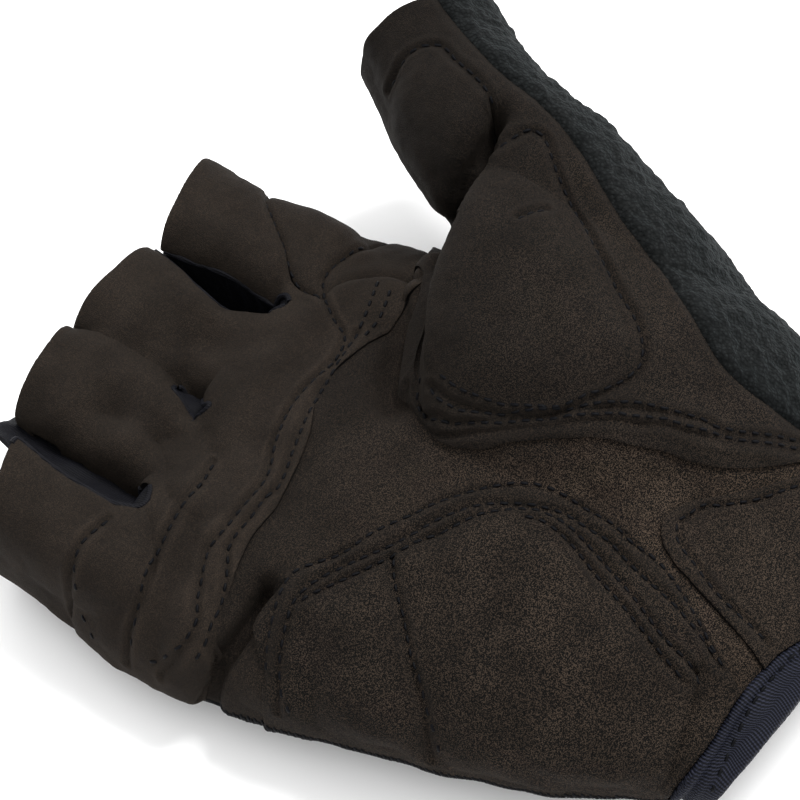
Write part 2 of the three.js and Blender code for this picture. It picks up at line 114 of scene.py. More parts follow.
MOUND_ROWS = [dict(zip(ROW, r)) for r in (
    (-0.34, 0.28, 0.60, 0.10, 0.98, 0.60, 2.0, 0),
    (-0.24, 0.18, 0.70, 0.06, 1.28, 0.60, 2.1, 0),
    (-0.12, 0.10, 0.745, 0.04, 1.50, 0.62, 2.1, 0),
    (0.00, 0.09, 0.79, 0.06, 1.60, 0.66, 2.1, 0),
    (0.08, 0.13, 0.83, 0.10, 1.62, 0.70, 2.1, 0),
    (0.14, 0.24, 0.85, 0.20, 1.58, 0.75, 2.1, 0),
    (0.19, 0.42, 0.85, 0.40, 1.50, 0.85, 2.0, 0))]
FINGERS = [dict(zip(("name", "middle", "lean", "rise", "wide", "tip", "rim", "slant"), r)) for r in (
    ("index", 1.665, 0.017, 0, 0.99, 1.0, 0.524, 0.087),
    ("middle", 0.657, 0.026, 0, 1.0, 0.98, 0.53, -0.06),
    ("ring", -0.365, 0.104, 0.058, 1.0, 0.86, 0.535, 0.05),
    ("little", -1.348, 0.13, 0.096, 0.95, 0.86, 0.486, 0.13))]
THUMB_ROWS = [dict(zip(("x", "y", "z", "across", "through"), r), at=i) for i, r in enumerate((
    (0.516, -0.205, 0.6, 0.172, 0.433),
    (0.597, -0.055, 0.8, 0.194, 0.633),
    (0.686, 0.096, 1.033, 0.177, 0.6),
    (0.763, 0.219, 1.2, 0.142, 0.51),
    (0.828, 0.295, 1.267, 0.127, 0.433),
    (0.885, 0.346, 1.3, 0.127, 0.433)))]
DENTS = [  # x, y, reach along, reach across (shares), turn in degrees, height
    (-0.366, 0.137, 0.129, 0.054, 10, -0.1),
    (0.215, 0.137, 0.129, 0.065, 25, -0.067),
    (0.032, 0.247, 0.366, 0.065, 0, -0.04),
    (0.28, -0.274, 0.172, 0.086, 120, -0.053),
]

# Seam lines seen from above, close to those of the solids: x in palm widths, y in lengths.
FINGER_EDGE = [(0.43, 0.176), (0.372, 0.185), (0.263, 0.199), (0.175, 0.21), (0.114, 0.21), (0.033, 0.19),
               (-0.126, 0.173), (-0.211, 0.177), (-0.319, 0.171), (-0.433, 0.158), (-0.581, 0.14)]
INDEX_SEAM = [(0.323, 0.282), (0.333, 0.325), (0.403, 0.375), (0.472, 0.426), (0.624, 0.493)]
WEB_SEAM = [(0.323, 0.282), (0.372, 0.3), (0.44, 0.295), (0.581, 0.26)]
WEB_CREASE = [(0.323, 0.282), (0.36, 0.278), (0.412, 0.252), (0.438, 0.22), (0.43, 0.176)]
THUMB_EDGE = [(0.489, -0.493), (0.468, -0.384), (0.422, -0.329), (0.338, -0.269), (0.276, -0.188),
              (0.228, -0.113), (0.172, -0.046), (0.133, 0.019), (0.136, 0.055), (0.155, 0.082), (0.19, 0.103),
              (0.226, 0.12), (0.309, 0.144), (0.405, 0.168), (0.43, 0.176)]
THUMB_GAP = [(0.43, 0.176), (0.495, 0.205), (0.573, 0.229), (0.591, 0.274), (0.624, 0.438)]
TERRY_EDGE = [(0.946, 0.397), (0.876, 0.32), (0.83, 0.268), (0.791, 0.218), (0.768, 0.16), (0.731, 0.09),
              (0.638, -0.01), (0.586, -0.079), (0.514, -0.15), (0.471, -0.205), (0.467, -0.274),
              (0.505, -0.384), (0.538, -0.493)]
HEEL_EDGE = [(-0.581, 0.075), (-0.43, 0.079), (-0.36, 0.106), (-0.294, 0.127), (-0.226, 0.116),
             (-0.149, 0.084), (-0.025, 0.032), (0.038, 0.004), (0.105, -0.047), (0.137, -0.123),
             (0.127, -0.192), (0.092, -0.267), (0.038, -0.325), (-0.022, -0.388)]
HEM_SEAM = [(-0.581, -0.402), (-0.215, -0.404), (-0.108, -0.402), (-0.022, -0.403), (0.054, -0.413),
            (0.129, -0.43), (0.301, -0.447), (0.495, -0.453), (0.968, -0.455)]
PATCH_EDGE = [(-0.02, -0.475), (0.049, -0.37), (0.084, -0.305), (0.111, -0.264), (0.14, -0.238),
              (0.177, -0.227), (0.231, -0.237), (0.297, -0.276), (0.382, -0.332), (0.435, -0.377),
              (0.475, -0.49)]
SLITS = [dict(zip(("name", "root", "rim", "reach", "high"), r)) for r in (
    ("fourchette_index_middle", 1.165, 1.183, 0.14, 0.83),
    ("fourchette_middle_ring", 0.148, 0.183, 0.14, 0.83),
    ("fourchette_ring_little", -0.878, -0.748, 0.165, 0.87))]

# Stitch rows seen from above, in millimetres of the drawing's frame, drawn after the photo.
ROWS = {
    "finger_row1": [(18.7, 32.2), (7.7, 33.7), (-1.4, 32), (-6.5, 30.1), (-10.1, 29.7), (-13.6, 30.2),
                    (-18.3, 30.7), (-21.2, 31.1), (-23.7, 31.4), (-26, 30.9), (-29.6, 29.6), (-32.7, 28.5),
                    (-35.4, 27), (-37.8, 27), (-40.1, 27.7), (-41.8, 29.6), (-43, 32.8)],
    "finger_row2": [(26.6, 31.9), (16.5, 31.2), (6, 30), (-1, 28.6), (-8.9, 27), (-11.5, 27.8), (-16.3, 28.1),
                    (-19.9, 28.7), (-23.2, 28.3), (-25.1, 27.1), (-31.4, 24.7), (-35.2, 24.4), (-38.4, 24),
                    (-41, 24.4)],
    "quilt_a": [(-27.6, 49.2), (-34.3, 50.6), (-38.1, 49.6), (-40.7, 47.7), (-42.3, 44.9), (-43, 43.4)],
    "quilt_b": [(-8.6, 40.2), (-14.4, 39.5), (-20.6, 39.9), (-26.5, 39.3), (-33.2, 38.6), (-39.4, 36.9),
                (-43, 36.2)],
    "junction": [(30, 41.2), (26.9, 37.6), (24.2, 33.4), (18.7, 32.2)],
    "double_a": [(38.2, 34.6), (31.5, 32.9), (26.6, 31.9)],
    "double_b": [(37.4, 31.6), (31, 30.2), (25.5, 30.4)],
    "heel_row1": [(-37.2, 12.5), (-33.4, 14.3), (-29.3, 15.7), (-25.6, 16.5), (-21.3, 16.6), (-18, 14),
                  (-14.5, 11), (-7.7, 7.8), (-3, 4.1), (1.2, 1.1), (9.1, -7.3), (11.8, -14.4), (11.6, -20.8),
                  (11.4, -25.5), (10.1, -30.2), (9, -36.8), (3.9, -45.6), (-1.3, -53.8)],
    "heel_row2": [(-39.8, 5.9), (-38.8, 8.3), (-36.6, 10.1), (-34.2, 11.5), (-31.3, 12.6), (-27.9, 13.6),
                  (-24.9, 13.9), (-22, 13), (-19.9, 11.9), (-16.2, 9.3), (-11.6, 6.1), (-6.3, 2.2),
                  (-1.7, -0.5), (4.3, -6.2), (7.7, -12.6), (8.9, -18.1), (8.5, -23.4), (8.1, -27.6),
                  (6.4, -32.6), (3.5, -42.3), (-0.2, -51.7)],
    "heel_row3": [(-25.2, 13.1), (-23.5, 12.2), (-20.5, 10), (-16.7, 7.1), (-13.5, 5), (-10.4, 3),
                  (-6.7, 0.6), (-4.1, -1.9), (3, -7), (6.6, -12.3), (7.6, -15.7), (7.1, -21.1),
                  (4.6, -27.8), (1.1, -36.4), (-2.1, -42.6), (-4.1, -50.2), (-5.6, -51.6)],
    "heel_row4": [(5.2, -12.6), (6, -16), (5, -21), (2, -28), (-1.3, -36), (-4.4, -43), (-6.4, -49)],
    "heel_inner": [(-11, 3), (-13.6, 1.5), (-16.4, -0.7), (-19.6, -3.9), (-21.9, -5.8), (-24.7, -8.3),
                   (-26.8, -10.9), (-28.9, -13.1), (-30.6, -15), (-33.4, -19)],
    "thenar_pad": [(59.7, 22.8), (63.4, 20.7), (65, 19.2), (65.1, 17), (60.6, 11.5), (54.6, 3.9),
                   (50.8, -0.7), (47.4, -5.2), (44, -9.9), (41.7, -13.6), (38, -17.1), (34.7, -18.5),
                   (31.7, -18), (27.8, -15.7), (25.1, -13.4), (21.9, -10.6), (19.6, -6.3), (17.9, -1.5),
                   (17.3, 1.4), (17.1, 4.2), (17.1, 6.7), (18.4, 11.3)],
    "thenar_trans": [(46.4, 11.9), (49, 10.7), (51.6, 9)],
    "thenar_row2": [(17.1, 12.1), (15.6, 10.3), (15, 7), (14.9, 4.9), (16.5, -0.4), (18.4, -5.1),
                    (21.5, -10.4), (24.5, -14.9), (26.6, -18.3), (28.8, -21.7), (30.2, -24.9),
                    (33.3, -31.8), (33.8, -34.3), (37.4, -40.2), (42, -46.2)],
    "thenar_row3": [(20.6, 15.7), (17.9, 14.9), (16.1, 13.9), (14.3, 11.5), (13.4, 9.8), (13.4, 6.1),
                    (14, 3.4), (15.8, -2.2), (18.8, -8.1), (21.9, -13.8), (25.1, -19.1), (26.3, -21.6),
                    (28.7, -25.7), (31.4, -32.1), (35.6, -39.8), (40.8, -47)],
    "thumb_pad": [(65.7, 48.2), (66.8, 48), (68.6, 47.4), (71, 46.5), (73, 43.9), (73.4, 41.7),
                  (71.3, 37.6), (69.4, 32.3), (66.9, 27.9), (65.3, 26.2), (62.7, 25.3)],
    "seam_1": [(43.9, 62.2), (37.5, 54.8), (31.0, 47.5), (29.8, 41.7)],
    "seam_2": [(50, 39.5), (45, 42.2), (40.9, 43.1), (34.6, 43.8), (30.0, 41.2)],
    "patch_row": [(34.9, -50), (29.9, -46.1), (27.2, -43.6), (24.5, -40.4), (22.8, -38), (21.3, -37.2),
                  (19.5, -36.5), (17.4, -35.6), (15.9, -36), (14.4, -36.8), (13.1, -38.6), (12.1, -40.8),
                  (10.1, -45), (8.8, -48.1), (8.1, -50.6), (6.3, -57.8)],
}


# Lines, noise and tables.

def column(rows, key, place, at):
    """Value of a table column at a place, by smooth steps between its rows."""
    i = 0
    while i + 2 < len(rows) and at > rows[i + 1][place]:
        i += 1
    before, a, b, after = rows[max(i - 1, 0)], rows[i], rows[i + 1], rows[min(i + 2, len(rows) - 1)]
    span = b[place] - a[place]
    t = min(max((at - a[place]) / span, 0), 1)
    straight = (b[key] - a[key]) / span
    m0 = straight if before is a else (b[key] - before[key]) / (b[place] - before[place])
    m1 = straight if after is b else (after[key] - a[key]) / (after[place] - a[place])
    return ((2 * t**3 - 3 * t**2 + 1) * a[key] + (t**3 - 2 * t**2 + t) * span * m0
            + (3 * t**2 - 2 * t**3) * b[key] + (t**3 - t**2) * span * m1)


def flowing(points, per=6):
    """A smooth line through points, as an array, with per steps between each two."""
    p = np.array(points, float)
    p = np.vstack([2 * p[0] - p[1], p, 2 * p[-1] - p[-2]])
    out = []
    for i in range(1, len(p) - 2):
        p0, p1, p2, p3 = p[i - 1:i + 3]
        d = [max(float(np.linalg.norm(q)) ** 0.5, 1e-4) for q in (p1 - p0, p2 - p1, p3 - p2)]
        m1 = ((p1 - p0) / d[0] - (p2 - p0) / (d[0] + d[1]) + (p2 - p1) / d[1]) * d[1]
        m2 = ((p2 - p1) / d[1] - (p3 - p1) / (d[1] + d[2]) + (p3 - p2) / d[2]) * d[1]
        for k in range(per):
            t = k / per
            out.append((2 * t**3 - 3 * t**2 + 1) * p1 + (t**3 - 2 * t**2 + t) * m1
                       + (3 * t**2 - 2 * t**3) * p2 + (t**3 - t**2) * m2)
    out.append(p[-2])
    return np.array(out)


def drawn(line, per=6):
    return flowing([(x * PALM_WIDTH, y * HAND_LENGTH) for x, y in line], per)


def evenly(line, step):
    """Points at even steps along a line, and the direction of the line at each."""
    gaps = np.linalg.norm(np.diff(line, axis=0), axis=1)
    far = np.concatenate([[0], np.cumsum(gaps)])
    n = max(int(round(far[-1] / step)), 1)
    at = (np.arange(n) + 0.5) * far[-1] / n
    here = np.stack([np.interp(at, far, line[:, k]) for k in range(line.shape[1])], 1)
    ahead = np.stack([np.interp(at + 0.3, far, line[:, k]) for k in range(line.shape[1])], 1)
    behind = np.stack([np.interp(at - 0.3, far, line[:, k]) for k in range(line.shape[1])], 1)
    way = ahead - behind
    return here, way / np.maximum(np.linalg.norm(way, axis=1, keepdims=True), 1e-9)


def waves(v, size, seed, count=14):
    """Smooth noise of about -1 to 1 whose bumps are about size across, the same every run."""
    rng = np.random.default_rng(SEED + seed)
    total = np.zeros(len(v))
    for _ in range(count):
        way = rng.normal(size=3)
        way /= np.linalg.norm(way)
        total += np.sin(v @ way * (2 * math.pi / (size * rng.uniform(1.4, 2.8))) + rng.uniform(0, 6.28))
    return total / math.sqrt(count) * 0.9


def near_line(v, line, reach):
    """Distance of points to a line in two or three dimensions, no more than reach."""
    k = line.shape[1]
    p = v[:, :k]
    out = np.full(len(p), float(reach))
    lo, hi = line.min(0) - reach, line.max(0) + reach
    pick = np.where(((p > lo) & (p < hi)).all(1))[0]
    if not len(pick):
        return out
    q = p[pick]
    best = np.full(len(q), float(reach) ** 2)
    for a, b in zip(line[:-1], line[1:]):
        ab = b - a
        t = np.clip((q - a) @ ab / max(ab @ ab, 1e-12), 0, 1)
        d = q - a - t[:, None] * ab
        best = np.minimum(best, (d * d).sum(1))
    out[pick] = np.sqrt(best)
    return out


def inside(v, outline):
    """Distance of points to an outline seen from above, above 0 inside it."""
    x, y = v[:, 0], v[:, 1]
    best = np.full(len(v), 1e9)
    odd = np.zeros(len(v), bool)
    for (ax, ay), (bx, by) in zip(outline, np.roll(outline, -1, axis=0)):
        ex, ey = bx - ax, by - ay
        t = np.clip(((x - ax) * ex + (y - ay) * ey) / max(ex * ex + ey * ey, 1e-12), 0, 1)
        best = np.minimum(best, (x - ax - t * ex) ** 2 + (y - ay - t * ey) ** 2)
        if ay != by:
            cross = ((ay > y) != (by > y)) & (x < ex * (y - ay) / ey + ax)
            odd ^= cross
    return np.sqrt(best) * np.where(odd, 1, -1)


# The form of a hand in the glove.

def dents(x, y):
    total = np.zeros_like(x)
    for cx, cy, along, across, turn, height in DENTS:
        turn = math.radians(turn)
        dx, dy = x - cx * PALM_WIDTH, y - cy * HAND_LENGTH
        u = (dx * math.cos(turn) + dy * math.sin(turn)) / (along * PALM_WIDTH)
        w = (dy * math.cos(turn) - dx * math.sin(turn)) / (across * PALM_WIDTH)
        near = np.maximum(1 - (u * u + w * w), 0)
        total += height * PALM_HEIGHT * near * near * (3 - 2 * near)
    return total


def section(around, half, below, above, square):
    a = np.arange(around) * 2 * math.pi / around
    c, s = np.cos(a), np.sin(a)
    across = np.sign(c) * np.abs(c) ** (2 / square) * half
    height = np.abs(s) ** (2 / square)
    return across, np.where(s < 0, -height * below, height * above)


def body_rings(rows, steps, around, longer):
    rings = []
    first, last = rows[0]["along"], rows[-1]["along"]
    for i in range(steps + 1):
        at = first + (last - first) * i / steps
        get = lambda key: column(rows, key, "along", at)
        left, right = get("left") * PALM_WIDTH, get("right") * PALM_WIDTH
        seam = get("seam") * PALM_HEIGHT
        below, above = seam - get("low") * PALM_HEIGHT, get("high") * PALM_HEIGHT - seam
        across, height = section(around, (right - left) / 2, below, above, get("round"))
        x = (left + right) / 2 + across
        share = min(max((LEAN_FROM - at) / LEAN_REACH, 0), 1)
        y = at * HAND_LENGTH - get("slant") * x + share * WRIST_LEAN * (PALM_HEIGHT - seam - height)
        rings.append(np.stack([x, y, seam + height + np.maximum(height, 0) / above * dents(x, y)], 1))
    if longer:
        rings.insert(0, rings[0] - [0, longer, 0])
    return rings


def stall_rings(finger, steps, around, longer):
    rings = []
    for i in range(steps + 1):
        share = i / steps
        y = STALL_ROOT + (finger["rim"] * HAND_LENGTH - STALL_ROOT) * share
        opened = min(0.72 + share * 0.75, 1)
        half = FINGER_PITCH * (finger["wide"] + (finger["tip"] - finger["wide"]) * share) * opened / 2
        half -= STALL_EASE + STALL_CLOTH - 0.35 * share
        seam = STALL_HEIGHT * (0.51 + 0.04 * share) + finger["rise"] * STALL_HEIGHT * share * share
        tall = STALL_HEIGHT * (0.49 - 0.04 * share) * opened
        across, height = section(around, half, tall, tall, 2.4 + 1.0 * min(share * 3, 1))
        x = (finger["middle"] + finger["lean"] * share) * FINGER_PITCH + across
        lead = finger["slant"] * FINGER_PITCH * across / half * share
        z = seam + height + np.maximum(height, 0) / tall * dents(x, np.full_like(x, y))
        rings.append(np.stack([x, y + lead, z], 1))
    rings.append(rings[-1] + [0, longer, 0])
    return rings


def thumb_place(at):
    held = min(max(at, 0), len(THUMB_ROWS) - 1)
    get = lambda key: column(THUMB_ROWS, key, "at", held)
    return np.array([get("x") * PALM_WIDTH, get("y") * HAND_LENGTH, get("z") * PALM_HEIGHT])


def thumb_axis(at):
    way = thumb_place(at + 0.05) - thumb_place(at - 0.05)
    return way / np.linalg.norm(way)


def thumb_rings(steps, around, longer):
    rings = []
    end = len(THUMB_ROWS) - 1
    for i in range(steps + 1):
        at = end * i / steps
        axis = thumb_axis(at)
        side = np.cross(axis, [0, 0, 1.0])
        side /= np.linalg.norm(side)
        up = np.cross(side, axis)
        through = column(THUMB_ROWS, "through", "at", at) * PALM_HEIGHT
        across, height = section(around, column(THUMB_ROWS, "across", "at", at) * PALM_WIDTH, through,
                                 through, 2.1)
        rings.append(thumb_place(at) + across[:, None] * side + height[:, None] * up)
    rings.append(rings[-1] + thumb_axis(end) * longer)
    return rings


def closed(rings):
    """Points and faces of a closed form through rings."""
    around = len(rings[0])
    points = np.vstack(rings)
    n = len(rings)
    j = np.arange(around)
    faces = []
    for i in range(n - 1):
        a, b = i * around + j, i * around + (j + 1) % around
        faces += np.stack([a, b, b + around, a + around], 1).tolist()
    faces.append(list(range(around - 1, -1, -1)))
    faces.append(list(range((n - 1) * around, n * around)))
    return points, faces


def merged_surface(parts, voxel):
    """One surface round all the parts, as points and triangles."""
    points, faces, start = [], [], 0
    for p, f in parts:
        points.append(p)
        faces += [[i + start for i in face] for face in f]
        start += len(p)
    mesh = bpy.data.meshes.new("form")
    mesh.from_pydata(np.vstack(points).tolist(), [], faces)
    ob = bpy.data.objects.new("form", mesh)
    bpy.context.scene.collection.objects.link(ob)
    mod = ob.modifiers.new("form", "REMESH")
    mod.mode = "VOXEL"
    mod.voxel_size = voxel
    mod.adaptivity = 0
    held = ob.evaluated_get(bpy.context.evaluated_depsgraph_get())
    out = held.to_mesh()
    out.calc_loop_triangles()
    v = np.empty(len(out.vertices) * 3)
    out.vertices.foreach_get("co", v)
    t = np.empty(len(out.loop_triangles) * 3, np.int64)
    out.loop_triangles.foreach_get("vertices", t)
    held.to_mesh_clear()
    bpy.data.objects.remove(ob)
    bpy.data.meshes.remove(mesh)
    return v.reshape(-1, 3), t.reshape(-1, 3)


def edges_of(t):
    e = np.sort(np.vstack([t[:, [0, 1]], t[:, [1, 2]], t[:, [2, 0]]]), axis=1)
    return np.unique(e, axis=0)


def rounds_for(voxel, rounds):
    """Rounds of evening out that reach as far at this voxel as they do at the usual one."""
    return int(round(rounds * (EVEN_VOXEL / voxel) ** 2))


def spread(values, e, n, rounds):
    """Evens out values over a mesh's edges."""
    count = np.bincount(e.ravel(), minlength=n).astype(float)
    count[count == 0] = 1
    flat = values.ndim == 1
    out = values[:, None].copy() if flat else values.copy()
    for _ in range(rounds):
        mean = np.stack([np.bincount(e[:, 0], out[e[:, 1], k], n) + np.bincount(e[:, 1], out[e[:, 0], k], n)
                         for k in range(out.shape[1])], 1) / count[:, None]
        out += (mean - out) * 0.5
    return out[:, 0] if flat else out


def normals_of(v, t):
    face = np.cross(v[t[:, 1]] - v[t[:, 0]], v[t[:, 2]] - v[t[:, 0]])
    out = np.stack([sum(np.bincount(t[:, c], face[:, k], len(v)) for c in range(3)) for k in range(3)], 1)
    return out / np.maximum(np.linalg.norm(out, axis=1, keepdims=True), 1e-12)


def filled(v, t, e, near, rounds):
    """Fills hollows of a surface where near is above 0: evens it out, but moves it outwards only."""
    held = e[(near > 0.04)[e].any(1)]
    used = np.unique(held)
    number = np.zeros(len(v), np.int64)
    number[used] = np.arange(len(used))
    held = number[held]
    n = spread(normals_of(v, t), e, len(v), 6)[used]
    weight = np.where(near[used] > 0.04, near[used], 0)
    p = v[used].copy()
    for _ in range(rounds):
        step = ((spread(p, held, len(p), 1) - p) * n).sum(1)
        p += n * (np.maximum(step, 0) * weight)[:, None]
    out = v.copy()
    out[used] = p
    return out


# Folds pressed into the whole form: line, half width, depth, which is below 0 for a ridge.
FOLDS = [
    ([(-20, 35), (-28, 34.4), (-36, 33), (-43, 30.5)], 2.6, 1.2),
    ([(30, 25), (22, 21.5), (15, 19)], 3.2, 1.5),
    ([(6, 55), (-1, 47), (-7, 42)], 3.0, 1.3),
    ([(-10, 53), (-14, 47), (-18, 42.5)], 2.6, 1.4),
    ([(-15, 44), (-18, 37), (-21, 33)], 2.2, -0.8),
    ([(21, 56), (24, 50), (28, 45)], 2.6, 0.8),
    ([(-3.5, -50.5), (-8, -52), (-15, -53), (-22, -53)], 1.8, 1.6),
]
# Slits as the hand holds them: how far the side towards the thumb and the other side are drawn aside, where
# along the slit and over what length, how high the lining reaches on each side and how far over the second,
# how far fingers that touch are pressed together, how far the lining dips past the knuckles, and its gathers.
SLIT_COLUMNS = ("near", "far", "at", "reach", "near_top", "far_top", "over", "joined", "dip", "gather")
SLIT_SHAPES = [dict(zip(SLIT_COLUMNS, r)) for r in (
    (1.8, 4.8, 60, 8.0, 21.8, 25.0, 0.3, 0, 0, 0.15),
    (0.5, 2.6, 50, 5.0, 20.0, 29.0, 0.7, 2.8, 9, 0.15),
    (1.2, 2.6, 61, 17, 21.6, 30.0, 1.6, 0, 0, 0.3))]
# Bands that span two of the slits: from where to where, heights of their sides, sag, length of the round end.
TROUGHS = {
    1: dict(start=45.5, end=58, high=19.5, low=24, sag=1.0, lobe=0),
    2: dict(start=46.5, end=80.0, high=18.5, low=24.0, sag=0.2, lobe=1.4),
}
# Deep folds of the whole form: line, half width, depth, from what height up.
DEEP_FOLDS = [
    ([(65, 26), (60, 26), (54.7, 25.5), (49, 24.6), (44, 23.4)], 3.0, 9.5, 30),
    ([(-25, 19.4), (-28, 19.7), (-33, 20.2), (-38, 21.2), (-43, 22.4)], 2.4, 4.4, 9),
]
# Hollows of the whole form that are filled: line, reach.
FILLED = [([(13, 4), (17, -6), (22, -15), (28, -25), (33, -35)], 9), ([(4.6, 58), (4.6, 66), (4.3, 79)], 5)]
# Bulges (above 0) and hollows of the whole form: place, reach, height along the surface's own direction.
LUMPS = [
    ((12.5, 56, 26), 6.5, -4.0), ((-7, 51, 26), 5.5, -4.2), ((-9, 62, 27), 4.5, -3.0),
    ((-12.5, 56, 27), 3.2, 1.6), ((22, 24, 29), 8, -1.6), ((30, 28, 29), 5, -1.5), ((-36, 30, 22), 6, 1.4),
    ((-33, 43, 25), 7, 1.2), ((-20, 46, 26), 6, 0.8), ((57, 53, 17), 9, 3.0),
]
# Parts of the form moved as a whole: place, reach, move.
MOVES = [
    ((46, 68, 20), 13, (-2.2, 0, 0)), ((82, 50, 39), 15, (0.7, -1.2, 0)),
]
# Areas that lie open to the camera's eye, drawn on the plane z = 30: the corner between thumb and index, and
# the palm beside the ball of the thumb.
THUMB_CORNER = np.array([(55.5, 28.7), (51.2, 27.7), (46.5, 26.6), (46.4, 32.9), (46.5, 40.3), (46.4, 47.6),
                         (45.4, 53.3), (67.7, 50.5), (62.5, 43.2), (55.6, 33.4)])
PALM_SIDE = np.array([(50.7, 27.7), (46.5, 26.6), (37.7, 24.2), (28.7, 20.7), (21.0, 17.3), (17.7, 14.8),
                      (14.1, 11.6), (10.4, 13.2), (15.3, 21.0), (27.4, 29.1), (41.9, 33.4), (50.2, 33.0)])


def cleared(v, outline, room, low, way=None):
    """Moves a form out of an open area, the shortest way or the given way, above a height."""
    ratio = (EYE[2] - v[:, 2]) / (EYE[2] - 30)
    flat = EYE[:2] + (v[:, :2] - EYE[:2]) / ratio[:, None]
    pick = np.where((inside(flat, outline) > -room) & (v[:, 2] > low))[0]
    p = flat[pick].copy()
    for _ in range(45):
        f = inside(p, outline) + room
        step = way
        if way is None:
            step = [inside(p + d, outline) - inside(p - d, outline) for d in ([0.05, 0], [0, 0.05])]
            step = np.stack(step, 1)
            step = -step / np.maximum(np.linalg.norm(step, axis=1, keepdims=True), 1e-9)
        p += step * np.clip(f, 0, 0.3)[:, None]
    out = v.copy()
    out[pick, :2] += (p - flat[pick]) * (ratio[pick] * np.clip((v[pick, 2] - low) / 3, 0, 1))[:, None]
    return out


def slit_place(v, k):
    """How far points lie from the middle of a slit, and how strongly it is drawn open there."""
    slit, shape = SLITS[k], SLIT_SHAPES[k]
    share = np.clip((v[:, 1] - SLIT_END) / (RIM_AT - SLIT_END), -0.2, 1.2)
    middle = (slit["root"] + (slit["rim"] - slit["root"]) * share) * FINGER_PITCH
    return v[:, 0] - middle, np.exp(-((v[:, 1] - shape["at"]) / shape["reach"]) ** 2)


def deep_folds(v, margin=0):
    """Depth of each deep fold, its shape across, and how far it has set in at a point's height."""
    for line, half, depth, low in DEEP_FOLDS:
        fold = np.exp(-(near_line(v, flowing(line), half * 3) / half) ** 4)
        yield depth, fold, np.clip((v[:, 2] - low + margin) / 6, 0, 1)


def make_form(voxel):
    """The whole form as the cloth's inner side: points, triangles and smooth directions outwards."""
    parts = [closed(body_rings(PALM_ROWS, steps=110, around=180, longer=6)),
             closed(body_rings(MOUND_ROWS, steps=70, around=140, longer=0)),
             closed(thumb_rings(steps=80, around=110, longer=5))]
    parts += [closed(stall_rings(f, steps=44, around=90, longer=5)) for f in FINGERS]
    v, t = merged_surface(parts, voxel)
    v = cleared(v, THUMB_CORNER, 1.9, -5)
    v = cleared(v, PALM_SIDE, 3.4, 30, np.array([0.5, -0.866]))
    for k, shape in enumerate(SLIT_SHAPES):
        off, _ = slit_place(v, k)
        press = shape["joined"] * np.exp(-(off / 5) ** 2) * np.clip((v[:, 1] - 55) / 4, 0, 1)
        before_rim = np.clip((77.5 - v[:, 1]) / 5, 0, 1)
        v[:, 0] -= np.sign(off) * press * before_rim * np.clip((v[:, 2] - 6) / 4, 0, 1)
    v, t = merged_surface([(v, t.tolist())], voxel)
    v[:, 2] = np.maximum(v[:, 2], FORM_FLOOR)
    e = edges_of(t)
    v = spread(v, e, len(v), rounds_for(voxel, 10))
    for k, shape in enumerate(SLIT_SHAPES):
        off, pull = slit_place(v, k)
        push = np.where(off > 0, shape["near"], -shape["far"]) * pull * np.exp(-(off / 7) ** 2)
        v[:, 0] += push * np.clip((v[:, 2] - 7) / 9, 0, 1) * (v[:, 1] > SLIT_END - 1) * (v[:, 0] < 54)
    for place, reach, move in MOVES:
        off = v - np.array(place)
        v += np.exp(-(off * off).sum(1) / reach ** 2)[:, None] * np.array(move)
    # Cloth spans narrow hollows.
    near = np.zeros(len(v))
    for line, reach in [(drawn(THUMB_EDGE)[:43], 9)] + [(flowing(line), reach) for line, reach in FILLED]:
        near = np.maximum(near, np.exp(-(near_line(v, line, reach * 2.2) / reach) ** 2))
    v = filled(v, t, e, near * (v[:, 2] > 12), rounds_for(voxel, 190))
    n = spread(normals_of(v, t), e, len(v), 6)
    n /= np.linalg.norm(n, axis=1, keepdims=True)
    up = np.clip(n[:, 2] * 2, 0, 1)
    move = np.zeros(len(v))
    for line, half, depth in FOLDS:
        move -= depth * np.exp(-(near_line(v, flowing(line), half * 4) / half) ** 2)
    move *= up
    for depth, fold, held in deep_folds(v):
        move -= depth * fold * held
    for place, reach, height in LUMPS:
        off = v - np.array(place)
        move += height * np.exp(-(off * off).sum(1) / reach ** 2)
    move += (0.35 * waves(v, 9, 1) + 0.2 * waves(v, 4.5, 2)) * np.clip((v[:, 2] - 3) / 6, 0, 1)
    v += n * move[:, None]
    v[:, 2] = np.maximum(v[:, 2], FORM_FLOOR)
    n = spread(normals_of(v, t), e, len(v), 3)
    return v, t, n / np.linalg.norm(n, axis=1, keepdims=True)


def unleant(v):
    """Points moved to where they would be if the wrist opening stood upright."""
    return v - np.outer(WRIST_LEAN * (PALM_HEIGHT - v[:, 2]), [0, 1, 0])


def mouth(v):
    """Distance from the wrist opening, above 0 on the glove's side."""
    q = unleant(v)
    return q[:, 1] + 0.466 * HAND_LENGTH + 0.12 * q[:, 0]


def within_rims(v):
    """Above 0 on the glove's side of every opening."""
    x, y, z = v.T
    f = mouth(v)
    share = (y - SLIT_END) / (RIM_AT - SLIT_END)
    cuts = [(s["root"] + (s["rim"] - s["root"]) * share) * FINGER_PITCH for s in SLITS]
    rim = np.full(len(v), 1e9)
    bounds = [(cuts[0], 55), (cuts[1], cuts[0]), (cuts[2], cuts[1]), (-1e9, cuts[2])]
    for finger, (lo, hi) in zip(FINGERS, bounds):
        mine = (x > lo) & (x <= hi) & (y > 50)
        half = FINGER_PITCH * finger["tip"] / 2
        middle = (finger["middle"] + finger["lean"]) * FINGER_PITCH
        edge = finger["rim"] * HAND_LENGTH + finger["slant"] * FINGER_PITCH * (x - middle) / half
        rim = np.where(mine, edge - y, rim)
    end = len(THUMB_ROWS) - 1
    thumb = -(v - thumb_place(end)) @ thumb_axis(end)
    rim = np.where((x > 55) & (y > 20), thumb, rim)
    return np.minimum(f, rim)


